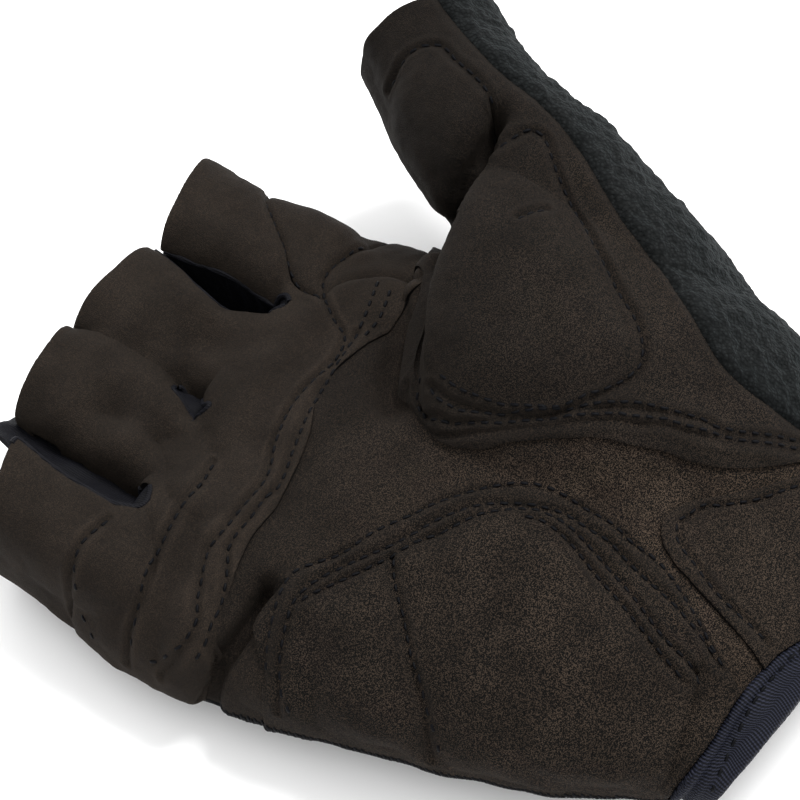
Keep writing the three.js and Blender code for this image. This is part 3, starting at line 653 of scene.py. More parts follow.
def cut(v, t, f, extra, slip):
    """Keeps the part of a surface where f is above 0, cut cleanly along f = 0. extra is carried along."""
    f = np.where(np.abs(f) < slip, 0.0, f)
    keep = f >= 0
    count = keep[t].sum(1)
    whole = t[(count == 3) & (np.abs(f[t]).max(1) > 0)]
    new_a, new_b, made = [], [], {}
    tris = []
    for tri in t[(count == 1) | (count == 2)].tolist():
        k = [keep[i] for i in tri]
        while not (k[0] and (not k[2])):
            tri = tri[1:] + tri[:1]
            k = k[1:] + k[:1]
        a, b, c = tri
        ids = []
        pairs = [(b, c), (a, c)] if k[1] else [(a, b), (a, c)]
        for p, q in pairs:
            if f[p] == 0:
                ids.append(p)
                continue
            if (p, q) not in made:
                made[(p, q)] = len(v) + len(new_a)
                new_a.append(p)
                new_b.append(q)
            ids.append(made[(p, q)])
        if k[1]:
            tris += [[a, b, ids[0]], [a, ids[0], ids[1]]]
        else:
            tris.append([a, ids[0], ids[1]])
    tris = np.array(tris, np.int64).reshape(-1, 3)
    tris = tris[(tris[:, 0] != tris[:, 1]) & (tris[:, 1] != tris[:, 2]) & (tris[:, 2] != tris[:, 0])]
    every = [v] + list(extra)
    if new_a:
        a, b = np.array(new_a), np.array(new_b)
        w = f[a] / (f[a] - f[b])
        every = [np.concatenate([q, q[a] + (q[b] - q[a]) * (w[:, None] if q.ndim > 1 else w)]) for q in every]
    faces = np.vstack([whole, tris])
    used = np.unique(faces)
    renumber = np.zeros(len(every[0]), np.int64)
    renumber[used] = np.arange(len(used))
    return [q[used] for q in every], renumber[faces]


# Making a piece out of the form.

# The outer side of each piece made so far, as points and triangles.
outer_faces = {}


def to_object(name, v, t, look, slot, uv=None, sharp=True, groups=(), highlight_and_press=None):
    """A mesh object on the model's frame. groups gives stretches of faces a look of their own."""
    mesh = bpy.data.meshes.new(name)
    mesh.vertices.add(len(v))
    mesh.vertices.foreach_set("co", ((v - CENTRE) / 1000).astype(np.float32).ravel())
    mesh.loops.add(len(t) * 3)
    mesh.loops.foreach_set("vertex_index", t.astype(np.int32).ravel())
    mesh.polygons.add(len(t))
    mesh.polygons.foreach_set("loop_start", np.arange(0, len(t) * 3, 3, dtype=np.int32))
    mesh.polygons.foreach_set("loop_total", np.full(len(t), 3, np.int32))
    mesh.update(calc_edges=True)
    if uv is not None:
        layer = mesh.uv_layers.new(name="UVMap")
        layer.data.foreach_set("uv", uv[t.ravel()].astype(np.float32).ravel())
    mesh.polygons.foreach_set("use_smooth", np.ones(len(t), bool))
    if sharp:
        mesh.set_sharp_from_angle(angle=math.radians(SHARP_FROM))
    mesh.materials.append(LOOKS[look])
    index = np.zeros(len(t), np.int32)
    for start, end, other in groups:
        mesh.materials.append(LOOKS[other])
        index[start:end] = len(mesh.materials) - 1
    mesh.polygons.foreach_set("material_index", index)
    # A per-point attribute that lightens the suede: painted highlight along raised edges and beside stitch rows,
    # partly pressed nap.
    if highlight_and_press is not None:
        layer = mesh.attributes.new("highlight_and_press", "FLOAT", "POINT")
        layer.data.foreach_set("value", highlight_and_press.astype(np.float32))
    ob = bpy.data.objects.new(name, mesh)
    bpy.context.scene.collection.objects.link(ob)
    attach(ob, "root")
    return ob


def rim_edges(t, count):
    """The edges at a surface's own rim, as ordered pairs of points."""
    e = np.vstack([t[:, [0, 1]], t[:, [1, 2]], t[:, [2, 0]]])
    return e[~np.isin(e[:, 0] * count + e[:, 1], e[:, 1] * count + e[:, 0])]


def shell(v, t, n, outer, inner):
    """A closed skin between two distances from a surface. Returns its points and faces."""
    count = len(v)
    a, b = rim_edges(t, count).T
    side = np.vstack([np.stack([a, a + count, b + count], 1), np.stack([a, b + count, b], 1)])
    points = np.vstack([v + n * outer[:, None], v + n * inner[:, None]])
    return points, np.vstack([t, t[:, ::-1] + count, side])


def edge_distance(v, t, reach):
    """Distance of each point of a surface to the surface's own edge, no more than reach."""
    count = len(v)
    rim = rim_edges(t, count)
    places = v[np.unique(rim)]
    mids = (v[rim[:, 0]] + v[rim[:, 1]]) / 2
    every = np.vstack([places, mids])
    tree = KDTree(len(every))
    for i, p in enumerate(every):
        tree.insert(p, i)
    tree.balance()
    out = np.full(count, float(reach))
    near = np.zeros(count, bool)
    near[np.unique(rim)] = True
    for _ in range(int(reach / 0.35)):
        grown = near[t].any(1)
        near[t[grown].ravel()] = True
    for i in np.where(near)[0]:
        out[i] = min(tree.find(v[i])[2], reach)
    return out


def rounded(d, radius):
    """0 at an edge, rising on a quarter round to 1 at radius."""
    s = np.clip(1 - d / radius, 0, 1)
    return np.sqrt(np.maximum(1 - s * s, 0))


# Looks.

def rgb(r, g, b):
    """A screen colour, 0 to 255, as a shader colour."""
    f = lambda c: c / 12.92 if c <= 0.04045 else ((c + 0.055) / 1.055) ** 2.4
    return (f(r / 255), f(g / 255), f(b / 255), 1)


class Look:
    """A node material put together step by step."""

    def __init__(self, name):
        self.mat = bpy.data.materials.new(name)
        self.mat.use_nodes = True
        self.nodes = self.mat.node_tree.nodes
        self.links = self.mat.node_tree.links
        self.shader = self.nodes["Principled BSDF"]
        self.place = self.nodes.new("ShaderNodeTexCoord").outputs["Object"]

    def put(self, node, socket, value):
        target = node.inputs[socket]
        if isinstance(value, bpy.types.NodeSocket):
            self.links.new(value, target)
        else:
            target.default_value = value

    def add(self, kind, place, **plain):
        """A new node that reads a place, with its other sockets set to plain values."""
        n = self.nodes.new("ShaderNode" + kind)
        self.links.new(place, n.inputs["Vector"])
        for key, value in plain.items():
            n.inputs[key.replace("_", " ")].default_value = value
        return n

    def noise(self, scale, detail=2.0, rough=0.5):
        return self.add("TexNoise", self.place, Scale=scale, Detail=detail, Roughness=rough).outputs["Fac"]

    def cells(self, scale, stretch=None):
        place = self.place
        if stretch:
            place = self.add("Mapping", place, Scale=stretch).outputs["Vector"]
        return self.add("TexVoronoi", place, Scale=scale).outputs["Distance"]

    def bands(self, place, way, scale, **plain):
        n = self.add("TexWave", place, Scale=scale, **plain)
        n.wave_type, n.bands_direction = "BANDS", way
        return n.outputs["Fac"]

    def ramp(self, value, stops):
        n = self.nodes.new("ShaderNodeValToRGB")
        self.links.new(value, n.inputs["Fac"])
        e = n.color_ramp.elements
        while len(e) < len(stops):
            e.new(0.5)
        for slot, (at, colour) in zip(e, stops):
            slot.position = at
            slot.color = colour if len(colour) == 4 else (*colour, 1)
        return n.outputs["Color"]

    def mix(self, fac, a, b, kind="MIX"):
        n = self.nodes.new("ShaderNodeMix")
        n.data_type = "RGBA"
        n.blend_type = kind
        self.put(n, 0, fac)
        self.put(n, 6, a)
        self.put(n, 7, b)
        return n.outputs[2]

    def maths(self, kind, a, b=0.0):
        n = self.nodes.new("ShaderNodeMath")
        n.operation = kind
        self.put(n, 0, a)
        self.put(n, 1, b)
        return n.outputs[0]

    def bump(self, height, distance, strength=1.0, over=None):
        n = self.nodes.new("ShaderNodeBump")
        self.put(n, "Height", height)
        n.inputs["Distance"].default_value = distance
        n.inputs["Strength"].default_value = strength
        if over is not None:
            self.links.new(over, n.inputs["Normal"])
        return n.outputs["Normal"]

    def finish(self, colour, rough, normal=None, **plain):
        self.put(self.shader, "Base Color", colour)
        self.put(self.shader, "Roughness", rough)
        if normal is not None:
            self.links.new(normal, self.shader.inputs["Normal"])
        for key, value in plain.items():
            self.shader.inputs[key.replace("_", " ")].default_value = value
        return self.mat


def suede(name, grain, low, high, light):
    """Napped suede: speckled grain, sharper towards the wrist, over soft patches where the nap turns."""
    m = Look(name)
    fine = m.noise(grain, 1, 0.6)
    tufts = m.noise(grain * 0.45, 1, 0.5)
    speck = m.maths("ADD", m.maths("MULTIPLY", fine, 0.78), m.maths("MULTIPLY", tufts, 0.22))
    patch = m.noise(110, 3, 0.5)
    mid = np.array([24.2, 20.2, 16.8]) * light

    def tone(c, span):
        dark, pale = mid * max(1 - 0.75 * c, 0.1), mid * (1 + 1.25 * c)
        return m.ramp(speck, [(0.5 - span, rgb(*dark)), (0.5, rgb(*mid)), (0.5 + span, rgb(*pale))])

    along = m.nodes.new("ShaderNodeVectorMath")
    along.operation = "DOT_PRODUCT"
    m.links.new(m.place, along.inputs[0])
    along.inputs[1].default_value = (0.1, -1.0, 0.0)
    share = m.ramp(m.maths("ADD", m.maths("MULTIPLY", along.outputs["Value"], 9.0), 0.5),
                   [(0.25, (0, 0, 0)), (0.75, (1, 1, 1))])
    colour = m.mix(share, tone(low, 0.12), tone(high, 0.085))
    nap = m.ramp(patch, [(0.35, rgb(214, 213, 212)), (0.65, rgb(255, 255, 255))])
    colour = m.mix(1.0, colour, nap, "MULTIPLY")
    # Lighter where the mesh attribute read below is high: painted highlight on raised edges and beside stitch
    # rows, partly pressed nap.
    highlight_and_press = m.nodes.new("ShaderNodeAttribute")
    highlight_and_press.attribute_name = "highlight_and_press"
    pale = m.ramp(fine, [(0.42, rgb(*(mid * 1.0))), (0.6, rgb(*(mid * 1.65)))])
    colour = m.mix(highlight_and_press.outputs["Fac"], colour, pale)
    rough = m.ramp(fine, [(0.3, (0.85,) * 3), (0.7, (1.0,) * 3)])
    normal = m.bump(speck, 0.00025, 0.6 + 0.3 * high, m.bump(patch, 0.0003, 0.3))
    return m.finish(colour, rough, normal, Specular_IOR_Level=0.1, Sheen_Weight=0.03, Sheen_Roughness=0.5,
                    Sheen_Tint=rgb(150, 135, 120))


def terry_look():
    """Towelling: small loops, duller and paler in soft patches."""
    m = Look("towelling")
    loops = m.cells(1500)
    fine = m.noise(2600, 3, 0.6)
    patch = m.noise(120, 2)
    both = m.maths("ADD", m.maths("MULTIPLY", loops, 0.6), m.maths("MULTIPLY", fine, 0.5))
    colour = m.ramp(both, [(0.25, rgb(30, 31, 31)), (0.5, rgb(15, 16, 16)), (0.8, rgb(5, 6, 6))])
    nap_light = m.ramp(patch, [(0.35, rgb(215, 222, 224)), (0.65, rgb(255, 255, 255))])
    colour = m.mix(1.0, colour, nap_light, "MULTIPLY")
    normal = m.bump(both, 0.0005, 0.9)
    return m.finish(colour, 0.95, normal, Specular_IOR_Level=0.12, Sheen_Weight=0.06, Sheen_Roughness=0.5,
                    Sheen_Tint=rgb(160, 180, 185))


def knit_look(name, colour, stitch, sheen):
    """Stretch cloth: fine ribs of small loops."""
    m = Look(name)
    ribs = m.bands(m.place, "X", stitch, Distortion=1.2, Detail=2, Detail_Scale=1.5)
    loops = m.cells(stitch * 5.5, (1, 0.6, 1))
    fine = m.noise(stitch * 12, 2)
    height = m.maths("ADD", m.maths("MULTIPLY", ribs, 0.55), m.maths("MULTIPLY", loops, -0.6))
    r, g, b = colour
    base = m.ramp(m.maths("ADD", height, m.maths("MULTIPLY", fine, 0.5)),
                  [(0.05, rgb(r * 0.55, g * 0.55, b * 0.55)), (0.5, rgb(r, g, b)),
                   (0.9, rgb(r * 1.5, g * 1.5, b * 1.5))])
    rough = m.ramp(fine, [(0.3, (0.6,) * 3), (0.7, (0.8,) * 3)])
    return m.finish(base, rough, m.bump(height, 0.00015, 0.7), Specular_IOR_Level=0.1, Sheen_Weight=sheen,
                    Sheen_Roughness=0.4, Sheen_Tint=rgb(120, 130, 165))


def tape_look():
    """Elastic tape with slanting ribs, drawn along the tape's own length."""
    m = Look("twill_tape")
    uv = m.nodes.new("ShaderNodeUVMap")
    uv.uv_map = "UVMap"
    slant = m.add("Mapping", uv.outputs["UV"], Rotation=(0, 0, math.radians(24))).outputs["Vector"]
    ribs = m.bands(slant, "X", 0.62, Distortion=0.35, Detail=1)
    across = m.bands(slant, "Y", 0.62)
    height = m.maths("ADD", m.maths("MULTIPLY", ribs, 0.7), m.maths("MULTIPLY", across, 0.3))
    fine = m.noise(3000, 2)
    colour = m.ramp(m.maths("ADD", height, m.maths("MULTIPLY", fine, 0.25)),
                    [(0.15, rgb(5, 6, 9)), (0.55, rgb(14, 15, 21)), (1.0, rgb(36, 38, 50))])
    return m.finish(colour, 0.62, m.bump(height, 0.00022, 0.8), Specular_IOR_Level=0.08, Sheen_Weight=0.02,
                    Sheen_Roughness=0.35, Sheen_Tint=rgb(140, 150, 190))


def thread_look(name, colour):
    m = Look(name)
    strands = m.noise(3500, 2, 0.6)
    r, g, b = colour
    base = m.ramp(strands, [(0.3, rgb(r * 0.6, g * 0.6, b * 0.6)), (0.7, rgb(r * 1.5, g * 1.5, b * 1.5))])
    return m.finish(base, 0.55, m.bump(strands, 0.00012, 0.6), Specular_IOR_Level=0.07)


LOOKS = {
    "palm": suede("suede_palm", 5400, 0.6, 1.7, 0.88),
    "fingers": suede("suede_fingers", 4800, 0.35, 0.9, 1.14),
    "patch": suede("suede_patch", 5200, 1.3, 1.9, 0.68),
    "heel": suede("suede_heel", 4700, 1.6, 2.1, 0.64),
    "thumb": suede("suede_thumb", 5200, 0.7, 1.3, 0.72),
    "terry": terry_look(),
    # The slit lining is near-black: its dark navy darkened further as painted shade deep inside the slits.
    "stretch": knit_look("stretch_strip", (11, 11, 15), 700, 0.02),
    "back": knit_look("back_knit", (15, 16, 18), 330, 0.05),
    "tape": tape_look(),
    # Near-black walls of every cut edge: partly the cloth's own dark core, partly painted shadow of the dark
    # line under each step.
    "edge": thread_look("cut_edge_and_shadow", (9, 8, 8)),
    "trim": knit_look("stretch_trim", (14, 14, 19), 700, 0.03),
    "thread": thread_look("navy_thread", (5.5, 6, 8.5)),
}

# Outlines of the pieces seen from above.

corner = lambda x, y: np.array([[x * PALM_WIDTH, y * HAND_LENGTH]])
joined = lambda *parts: np.vstack(parts)
OUTLINES = {
    "finger_panel": joined(drawn(FINGER_EDGE)[::-1], drawn(WEB_CREASE)[::-1][1:], drawn(INDEX_SEAM)[1:],
                           corner(0.624, 0.685), corner(-0.581, 0.685)),
    "index_gusset": joined(drawn(INDEX_SEAM), corner(0.591, 0.411), drawn(WEB_SEAM)[::-1][:-1]),
    "web_panel": joined(drawn(WEB_SEAM), drawn(THUMB_GAP)[:13][::-1], drawn(WEB_CREASE)[::-1][1:-1]),
    "thumb_panel": joined(drawn(THUMB_EDGE), drawn(THUMB_GAP)[1:], corner(0.753, 0.548),
                          drawn(TERRY_EDGE)[:-1]),
    "thumb_terry": joined(drawn(TERRY_EDGE), corner(1.29, -0.48), corner(1.29, 0.548)),
    "heel_pad": joined(drawn(HEEL_EDGE), corner(-0.022, -0.5), corner(-0.581, -0.5)),
    "palm_panel": joined(drawn(HEEL_EDGE), corner(-0.022, -0.5), drawn(THUMB_EDGE), drawn(FINGER_EDGE)[1:]),
    "wrist_patch": drawn(PATCH_EDGE),
    "hem": joined(drawn(HEM_SEAM), corner(0.968, -0.685), corner(-0.581, -0.685)),
}

# The pieces.

fine_v, fine_t, fine_n = make_form(FINE_VOXEL)
tree = BVHTree.FromPolygons(fine_v.tolist(), fine_t.tolist())


def lifted(line, step=0.8):
    """A line seen from above laid on the form."""
    here, _ = evenly(line, step)
    out = []
    for x, y in here:
        hit = tree.ray_cast(Vector((x, y, 120)), Vector((0, 0, -1)))[0]
        if hit is not None:
            out.append(hit)
    return np.array(out)


row_lines = {name: lifted(flowing(points)) for name, points in ROWS.items()}
seam_lines = {name: lifted(drawn(line)) for name, line in (
    ("index_seam", INDEX_SEAM), ("web_seam", WEB_SEAM), ("web_crease", WEB_CREASE),
    ("terry_edge", TERRY_EDGE))}

# The form above the side seam, out of which the palm's pieces are cut.
upper = fine_v[:, 2] > SIDE_SEAM - 3
pick = upper[fine_t].all(1)
used = np.unique(fine_t[pick])
number = np.zeros(len(fine_v), np.int64)
number[used] = np.arange(len(used))
top_v, top_t, top_n = fine_v[used], number[fine_t[pick]], fine_n[used]
rims = within_rims(top_v)
hem_in = inside(unleant(top_v), OUTLINES["hem"])


def slit_field(v, k, room=0.0):
    """Above 0 within the strip that lines a slit; the strip's end at the palm is round."""
    shape = SLIT_SHAPES[k]
    off, pull = slit_place(v, k)
    wide = 2.0 + np.where(off > 0, shape["near"] * pull, shape["far"] * pull + shape["over"])
    short = np.maximum(SLIT_END + wide * 0.8 - v[:, 1], 0)
    far_top = shape["far_top"] - shape["dip"] * np.clip((v[:, 1] - 55) / 3, 0, 1)
    top = np.where(off > 0, shape["near_top"] + 6 * np.clip((SLIT_END + 4 - v[:, 1]) / 4, 0, 1), far_top)
    return np.minimum(wide + room - np.hypot(off, short), top + room - v[:, 2])


def trough(k, start, end, high, low, sag, lobe):
    """The lining where it shows between two fingers: a band that spans the slit, as a closed solid."""
    rows = []
    across = 13
    shape = SLIT_SHAPES[k]
    for y in np.arange(start, end + 0.01, 0.5):
        past = max(y - (end - lobe), 0) / lobe if lobe else 0
        narrow = math.sqrt(max(1 - past * past, 0.02)) * min(1, 0.35 + (y - start) / 4)
        off, pull = slit_place(np.array([[0, y, 0]]), k)
        middle = -off[0] + (shape["near"] - shape["far"] - shape["over"]) * pull[0] / 2
        half = (2.4 + (shape["near"] + shape["far"] + shape["over"]) * pull[0] / 2) * narrow
        s = np.linspace(-1, 1, across)
        fold = 0.25 * np.sin(s * 5 + 0.5 * y) + 0.2 * np.sin(0.9 * y + 2 * s)
        z = (high + low) / 2 + (high - low) / 2 * s - sag * (1 - s * s) - past * past * 2 + fold * (1 - s * s)
        rows.append(np.stack([middle + half * s, np.full(across, y), z], 1))
    v = np.vstack(rows)
    i, j = np.meshgrid(np.arange(len(rows) - 1), np.arange(across - 1), indexing="ij")
    a = (i * across + j).ravel()
    b = a + across
    t = np.vstack([np.stack([a, a + 1, b + 1], 1), np.stack([a, b + 1, b], 1)])
    n = normals_of(v, t)
    return shell(v, t, n, np.full(len(v), 0.4), np.full(len(v), -0.4))


def panel(name, cloth, look, slot, under=0.0, seams=(), rows=(), pads=(), groove=0.7, edge=0.45, crisp=0.55,
          field=None, bump=None, below=0.0, cut_edge_and_shadow=True, extra=None, press=0.15):
    """One cloth piece: cut out of the form, thickened, rounded, padded and drawn in at its seams."""
    f = inside(top_v, OUTLINES[name]) + under if field is None else field
    f = np.minimum.reduce([f, rims, top_v[:, 2] - SIDE_SEAM])
    if field is None:
        f = np.minimum(f, -hem_in)
    (v, n), t = cut(top_v, top_t, f, [top_n], 0.06)
    n /= np.linalg.norm(n, axis=1, keepdims=True)
    d = edge_distance(v, t, 2.0)
    outer = np.full(len(v), float(cloth))
    # A lighter band just inside each edge, as strong as press: painted highlight on the rounded edge, partly
    # pressed nap.
    highlight_and_press = np.exp(-((d - 0.7) / 0.5) ** 2) * press
    for line, half, depth in seams:
        outer -= depth * np.exp(-(near_line(v, seam_lines[line], half * 3.5) / half) ** 2)
    for ring, lines, height, reach in pads:
        far = np.maximum(inside(v, ring), 0)
        for line in lines:
            far = np.minimum(far, near_line(v, row_lines[line], 30))
        outer += height * (1 - np.exp(-(far / reach) ** 2)) * np.clip(n[:, 2] * 2.5, 0, 1)
    for row in rows:
        line = row_lines[row]
        if len(line) > 1:
            far = near_line(v, line, 3)
            outer -= groove * np.exp(-(far / GROOVE_HALF) ** 2)
            outer += RAISED * np.exp(-((far - BESIDE_ROW) / 0.5) ** 2)
            # The raised cloth beside the row is painted lighter: painted highlight on the ridge, partly pressed
            # nap.
            highlight_and_press = np.maximum(highlight_and_press, np.exp(-((far - 1.3) / 0.55) ** 2) * (0.35 + 0.3 * waves(v, 4, 41)))
    side = np.clip((v[:, 2] - SIDE_SEAM) / 1.6, 0, 1)
    outer -= 0.5 * (1 - side) ** 2
    if bump is not None:
        outer += bump(v)
    for _, fold, held in deep_folds(v, margin=4):
        outer *= 1 - 0.75 * fold * held
    outer = np.maximum(outer, 0.35)
    outer = below + (outer - below) * (crisp + (1 - crisp) * rounded(d, edge))
    points, faces = shell(v, t, n, outer, np.full(len(v), below))
    # The walls get the near-black edge look: partly the cloth's dark core, partly painted shadow under the step.
    groups = [(2 * len(t), len(faces), "edge")] if cut_edge_and_shadow else []
    highlight_and_press = np.concatenate([highlight_and_press, highlight_and_press])
    if extra is not None:
        groups = [(len(faces), len(faces) + len(extra[1]), "trim")]
        faces = np.vstack([faces, extra[1] + len(points)])
        points = np.vstack([points, extra[0]])
        highlight_and_press = np.concatenate([highlight_and_press, np.zeros(len(extra[0]))])
    ob = to_object(name + "_cloth", points, faces, look, slot, groups=groups, highlight_and_press=highlight_and_press)
    outer_faces[name] = (v + n * outer[:, None], t)
    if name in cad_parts:
        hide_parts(name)
    return ob


# Small unevenness of suede, and the outline of a pad from several lines.
nap = lambda v: 0.05 * waves(v, 2.2, 5) + 0.04 * waves(v, 1.2, 6)
pad_ring = lambda *lines: np.vstack([flowing(l) if len(l) > 3 else np.array(l, float) for l in lines])

finger_field = inside(top_v, OUTLINES["finger_panel"])
for k in range(3):
    finger_field = np.minimum(finger_field, -slit_field(top_v, k))
finger_field = np.minimum(finger_field, -hem_in)

panel("palm_panel", 1.3, "palm", "suede", under=1.1, edge=0.2, crisp=0.9, bump=nap)
panel("finger_panel", 2.0, "fingers", "suede", field=finger_field,
      seams=(("index_seam", 0.8, 0.9), ("web_crease", 0.9, 0.9)),
      rows=("finger_row1", "finger_row2", "quilt_a", "quilt_b", "junction"), bump=nap, edge=0.25, crisp=0.9)
panel("index_gusset", 1.5, "fingers", "suede", under=0.1, bump=nap,
      seams=(("index_seam", 0.8, 0.8), ("web_seam", 0.8, 0.8)))
panel("web_panel", 1.5, "fingers", "suede", under=0.1, rows=("double_a", "double_b"), bump=nap,
      seams=(("web_seam", 0.8, 0.8), ("web_crease", 0.9, 0.8)))
thenar_ring = pad_ring(ROWS["thenar_pad"], [(12, 13), (16, 20), (28, 24), (38, 27), (47, 26.5), (54, 24.5)])
thumb_ring = pad_ring(ROWS["thumb_pad"], [(58, 27), (50, 27), (47, 42), (55, 54), (63, 52)])
thumb = panel("thumb_panel", 2.1, "thumb", "suede", under=0.05, seams=(("terry_edge", 0.9, 0.9),),
              rows=("thenar_pad", "thenar_trans", "thenar_row2", "thenar_row3", "thumb_pad"),
              pads=((thenar_ring, (), 1.8, 4.5), (thumb_ring, (), 1.2, 3.5)), bump=nap, edge=0.25, crisp=0.95)
heel_ring = pad_ring(ROWS["heel_row4"][::-1], ROWS["heel_row3"][:10][::-1],
                     [(-38, 3), (-39, -20), (-34, -50), (-12, -51.5)])
heel = panel("heel_pad", 2.0, "heel", "suede",
             rows=("heel_row1", "heel_row2", "heel_row3", "heel_row4", "heel_inner"),
             pads=((heel_ring, ("heel_inner",), 1.9, 4.0),), bump=nap)
patch_field = np.minimum(inside(top_v, OUTLINES["wrist_patch"]), -hem_in)
# The patch's edge band is painted lighter than the other pieces' edges: painted highlight on its raised border,
# partly pressed nap.
panel("wrist_patch", 2.25, "patch", "suede", field=patch_field, rows=("patch_row",), groove=0.6, edge=0.4,
      crisp=0.8, below=1.2, bump=nap, press=0.3)
panel("thumb_terry", 2.2, "terry", "terry", under=0.05, seams=(("terry_edge", 1.0, 1.0),), edge=0.9,
      crisp=0.4, bump=lambda v: 0.16 * waves(v, 1.5, 8) + 0.14 * waves(v, 1.0, 9))


def runs_of_edge(v, t, test):
    """The stretches of a surface's own edge along which a test holds, each as a line of points."""
    after = dict(rim_edges(t, len(v)).tolist())
    before = {b: a for a, b in after.items()}
    out = []
    for first in after:
        if test[first] and not test[before[first]]:
            line = [first]
            while line[-1] in after and test[after[line[-1]]] and len(line) < 5000:
                line.append(after[line[-1]])
            if len(line) > 12:
                out.append(v[line])
    return out


def tube(line, side, up, size, sides):
    """A closed solid round a line: side and up are its directions across, size its half width."""
    a = np.arange(sides) * 2 * math.pi / sides
    ring = np.cos(a)[:, None] * side[:, None] + np.sin(a)[:, None] * up[:, None]
    v = (line[:, None] + ring * size[:, None, None]).reshape(-1, 3)
    i, j = np.meshgrid(np.arange(len(line) - 1) * sides, np.arange(sides), indexing="ij")
    a0, b0 = (i + j).ravel(), (i + (j + 1) % sides).ravel()
    k, last = np.arange(1, sides - 1), (len(line) - 1) * sides
    return v, np.vstack([np.stack([a0, b0, b0 + sides], 1), np.stack([a0, b0 + sides, a0 + sides], 1),
                         np.stack([0 * k, k + 1, k], 1), np.stack([0 * k + last, last + k, last + k + 1], 1)])


def bead(line, radius, step=0.45, even=6):
    """A rolled edge along a line."""
    p, _ = evenly(line, step)
    for _ in range(even):
        p[1:-1] = (p[:-2] + p[2:] + 2 * p[1:-1]) / 4
    way = np.gradient(p, axis=0)
    way /= np.maximum(np.linalg.norm(way, axis=1, keepdims=True), 1e-9)
    side = np.cross(way, [0.1, 0.2, 1.0])
    side /= np.linalg.norm(side, axis=1, keepdims=True)
    return tube(p, side, np.cross(side, way), radius * (1 + 0.12 * waves(p, 3, 31)), sides=8)


def gathered(solids):
    """Several solids as one list of points and faces."""
    starts = np.cumsum([0] + [len(v) for v, _ in solids])
    return np.vstack([v for v, _ in solids]), np.vstack([t + at for (_, t), at in zip(solids, starts)])


# Strips that line the slits, with a rolled edge where the fingers' suede ends.
edge_v, edge_t = outer_faces["finger_panel"]
at_slit = lambda k: (slit_field(edge_v, k) > -1.3) & (within_rims(edge_v) > 0.4)
for k, slit in enumerate(SLITS):
    gather = SLIT_SHAPES[k]["gather"]
    lining = [trough(k, **TROUGHS[k])] if k in TROUGHS else []
    beads = [bead(line, 0.5) for line in runs_of_edge(edge_v, edge_t, at_slit(k))]
    panel(slit["name"], 1.0, "stretch", "stretch", field=slit_field(top_v, k, 0.5), edge=0.4, crisp=0.5,
          bump=lambda v: gather * np.sin(v[:, 1] * 1.9 + 1.4 * waves(v, 6, 11)), cut_edge_and_shadow=False,
          extra=gathered(lining + beads))

# Wrist binding: an elastic tape rolled over the hem all the way round.
all_rims = within_rims(fine_v)
f = np.minimum(inside(unleant(fine_v), OUTLINES["hem"]), all_rims)
(v, n), t = cut(fine_v, fine_t, f, [fine_n], 0.06)
n /= np.linalg.norm(n, axis=1, keepdims=True)
d = edge_distance(v, t, 3.0)
hem_line = near_line(unleant(v), drawn(HEM_SEAM), 12)
opening = mouth(v)
outer = 0.8 + 1.5 * rounded(opening, TAPE_ROLL) - 0.8 * np.exp(-((hem_line - TAPE_ROW) / 0.5) ** 2)
outer *= 0.35 + 0.65 * rounded(hem_line, 0.7)
outer = np.maximum(outer, 0.3)
middle = np.array([0.205 * PALM_WIDTH, 0.49 * PALM_HEIGHT])
turn = np.arctan2((v[:, 2] - middle[1]) * 1.9, v[:, 0] - middle[0])
uv = np.stack([turn * TAPE_RADIUS, hem_line], 1)
inner = np.where(opening < TAPE_ROLL, -0.9 * rounded(TAPE_ROLL - opening, TAPE_ROLL), 0)
points, faces = shell(v, t, n, outer, inner)
points[:, 2] = np.maximum(points[:, 2], 0.05)
binding = to_object("wrist_binding_tape", points, faces, "tape", "binding", uv=np.vstack([uv, uv]))
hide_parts("wrist_binding")
outer_faces["wrist_binding"] = (v + n * outer[:, None], t)

# Back of the glove: plain knit from side seam to side seam.
low_v, low_t, low_n = make_form(COARSE_VOXEL)
f = np.minimum.reduce([SIDE_SEAM - low_v[:, 2], within_rims(low_v), -inside(unleant(low_v), OUTLINES["hem"])])
(v, n), t = cut(low_v, low_t, f, [low_n], 0.08)
n /= np.linalg.norm(n, axis=1, keepdims=True)
d = edge_distance(v, t, 2.5)
outer = (1.1 + 0.08 * waves(v, 6, 21)) * (0.55 + 0.45 * rounded(d, 1.6))
points, faces = shell(v, t, n, outer, np.zeros(len(v)))
points[:, 2] = np.maximum(points[:, 2], 0.02)
back = to_object("back_panel_cloth", points, faces, "back", "back_knit")
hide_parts("back_panel")
outer_faces["back_panel"] = (v + n * outer[:, None], t)

# Stitches.

points, faces = gathered(list(outer_faces.values()))
skin = BVHTree.FromPolygons(points.tolist(), faces.tolist())


def strand(centre, way, up, length, thick, sink):
    """A short thread that rises out of the cloth and goes back into it."""
    across = np.cross(up, way)
    across /= max(np.linalg.norm(across), 1e-9)
    s = np.linspace(-1, 1, 7)
    middle = centre + way * (s * length / 2)[:, None] - up * (sink * s**4)[:, None]
    size = thick / 2 * np.sqrt(np.maximum(1 - (np.abs(s) ** 3) * 0.75, 0.05))
    return tube(middle, across[None], 0.8 * up[None], size, sides=6)


def on_skin(start, way=(0, 0, -1)):
    """Where a straight line first meets the glove, and the direction outwards there."""
    hit = skin.ray_cast(Vector(start), Vector(way))
    return (None, None) if hit[0] is None else (np.array(hit[0]), np.array(hit[1]))


rng = np.random.default_rng(SEED)
sewn = []


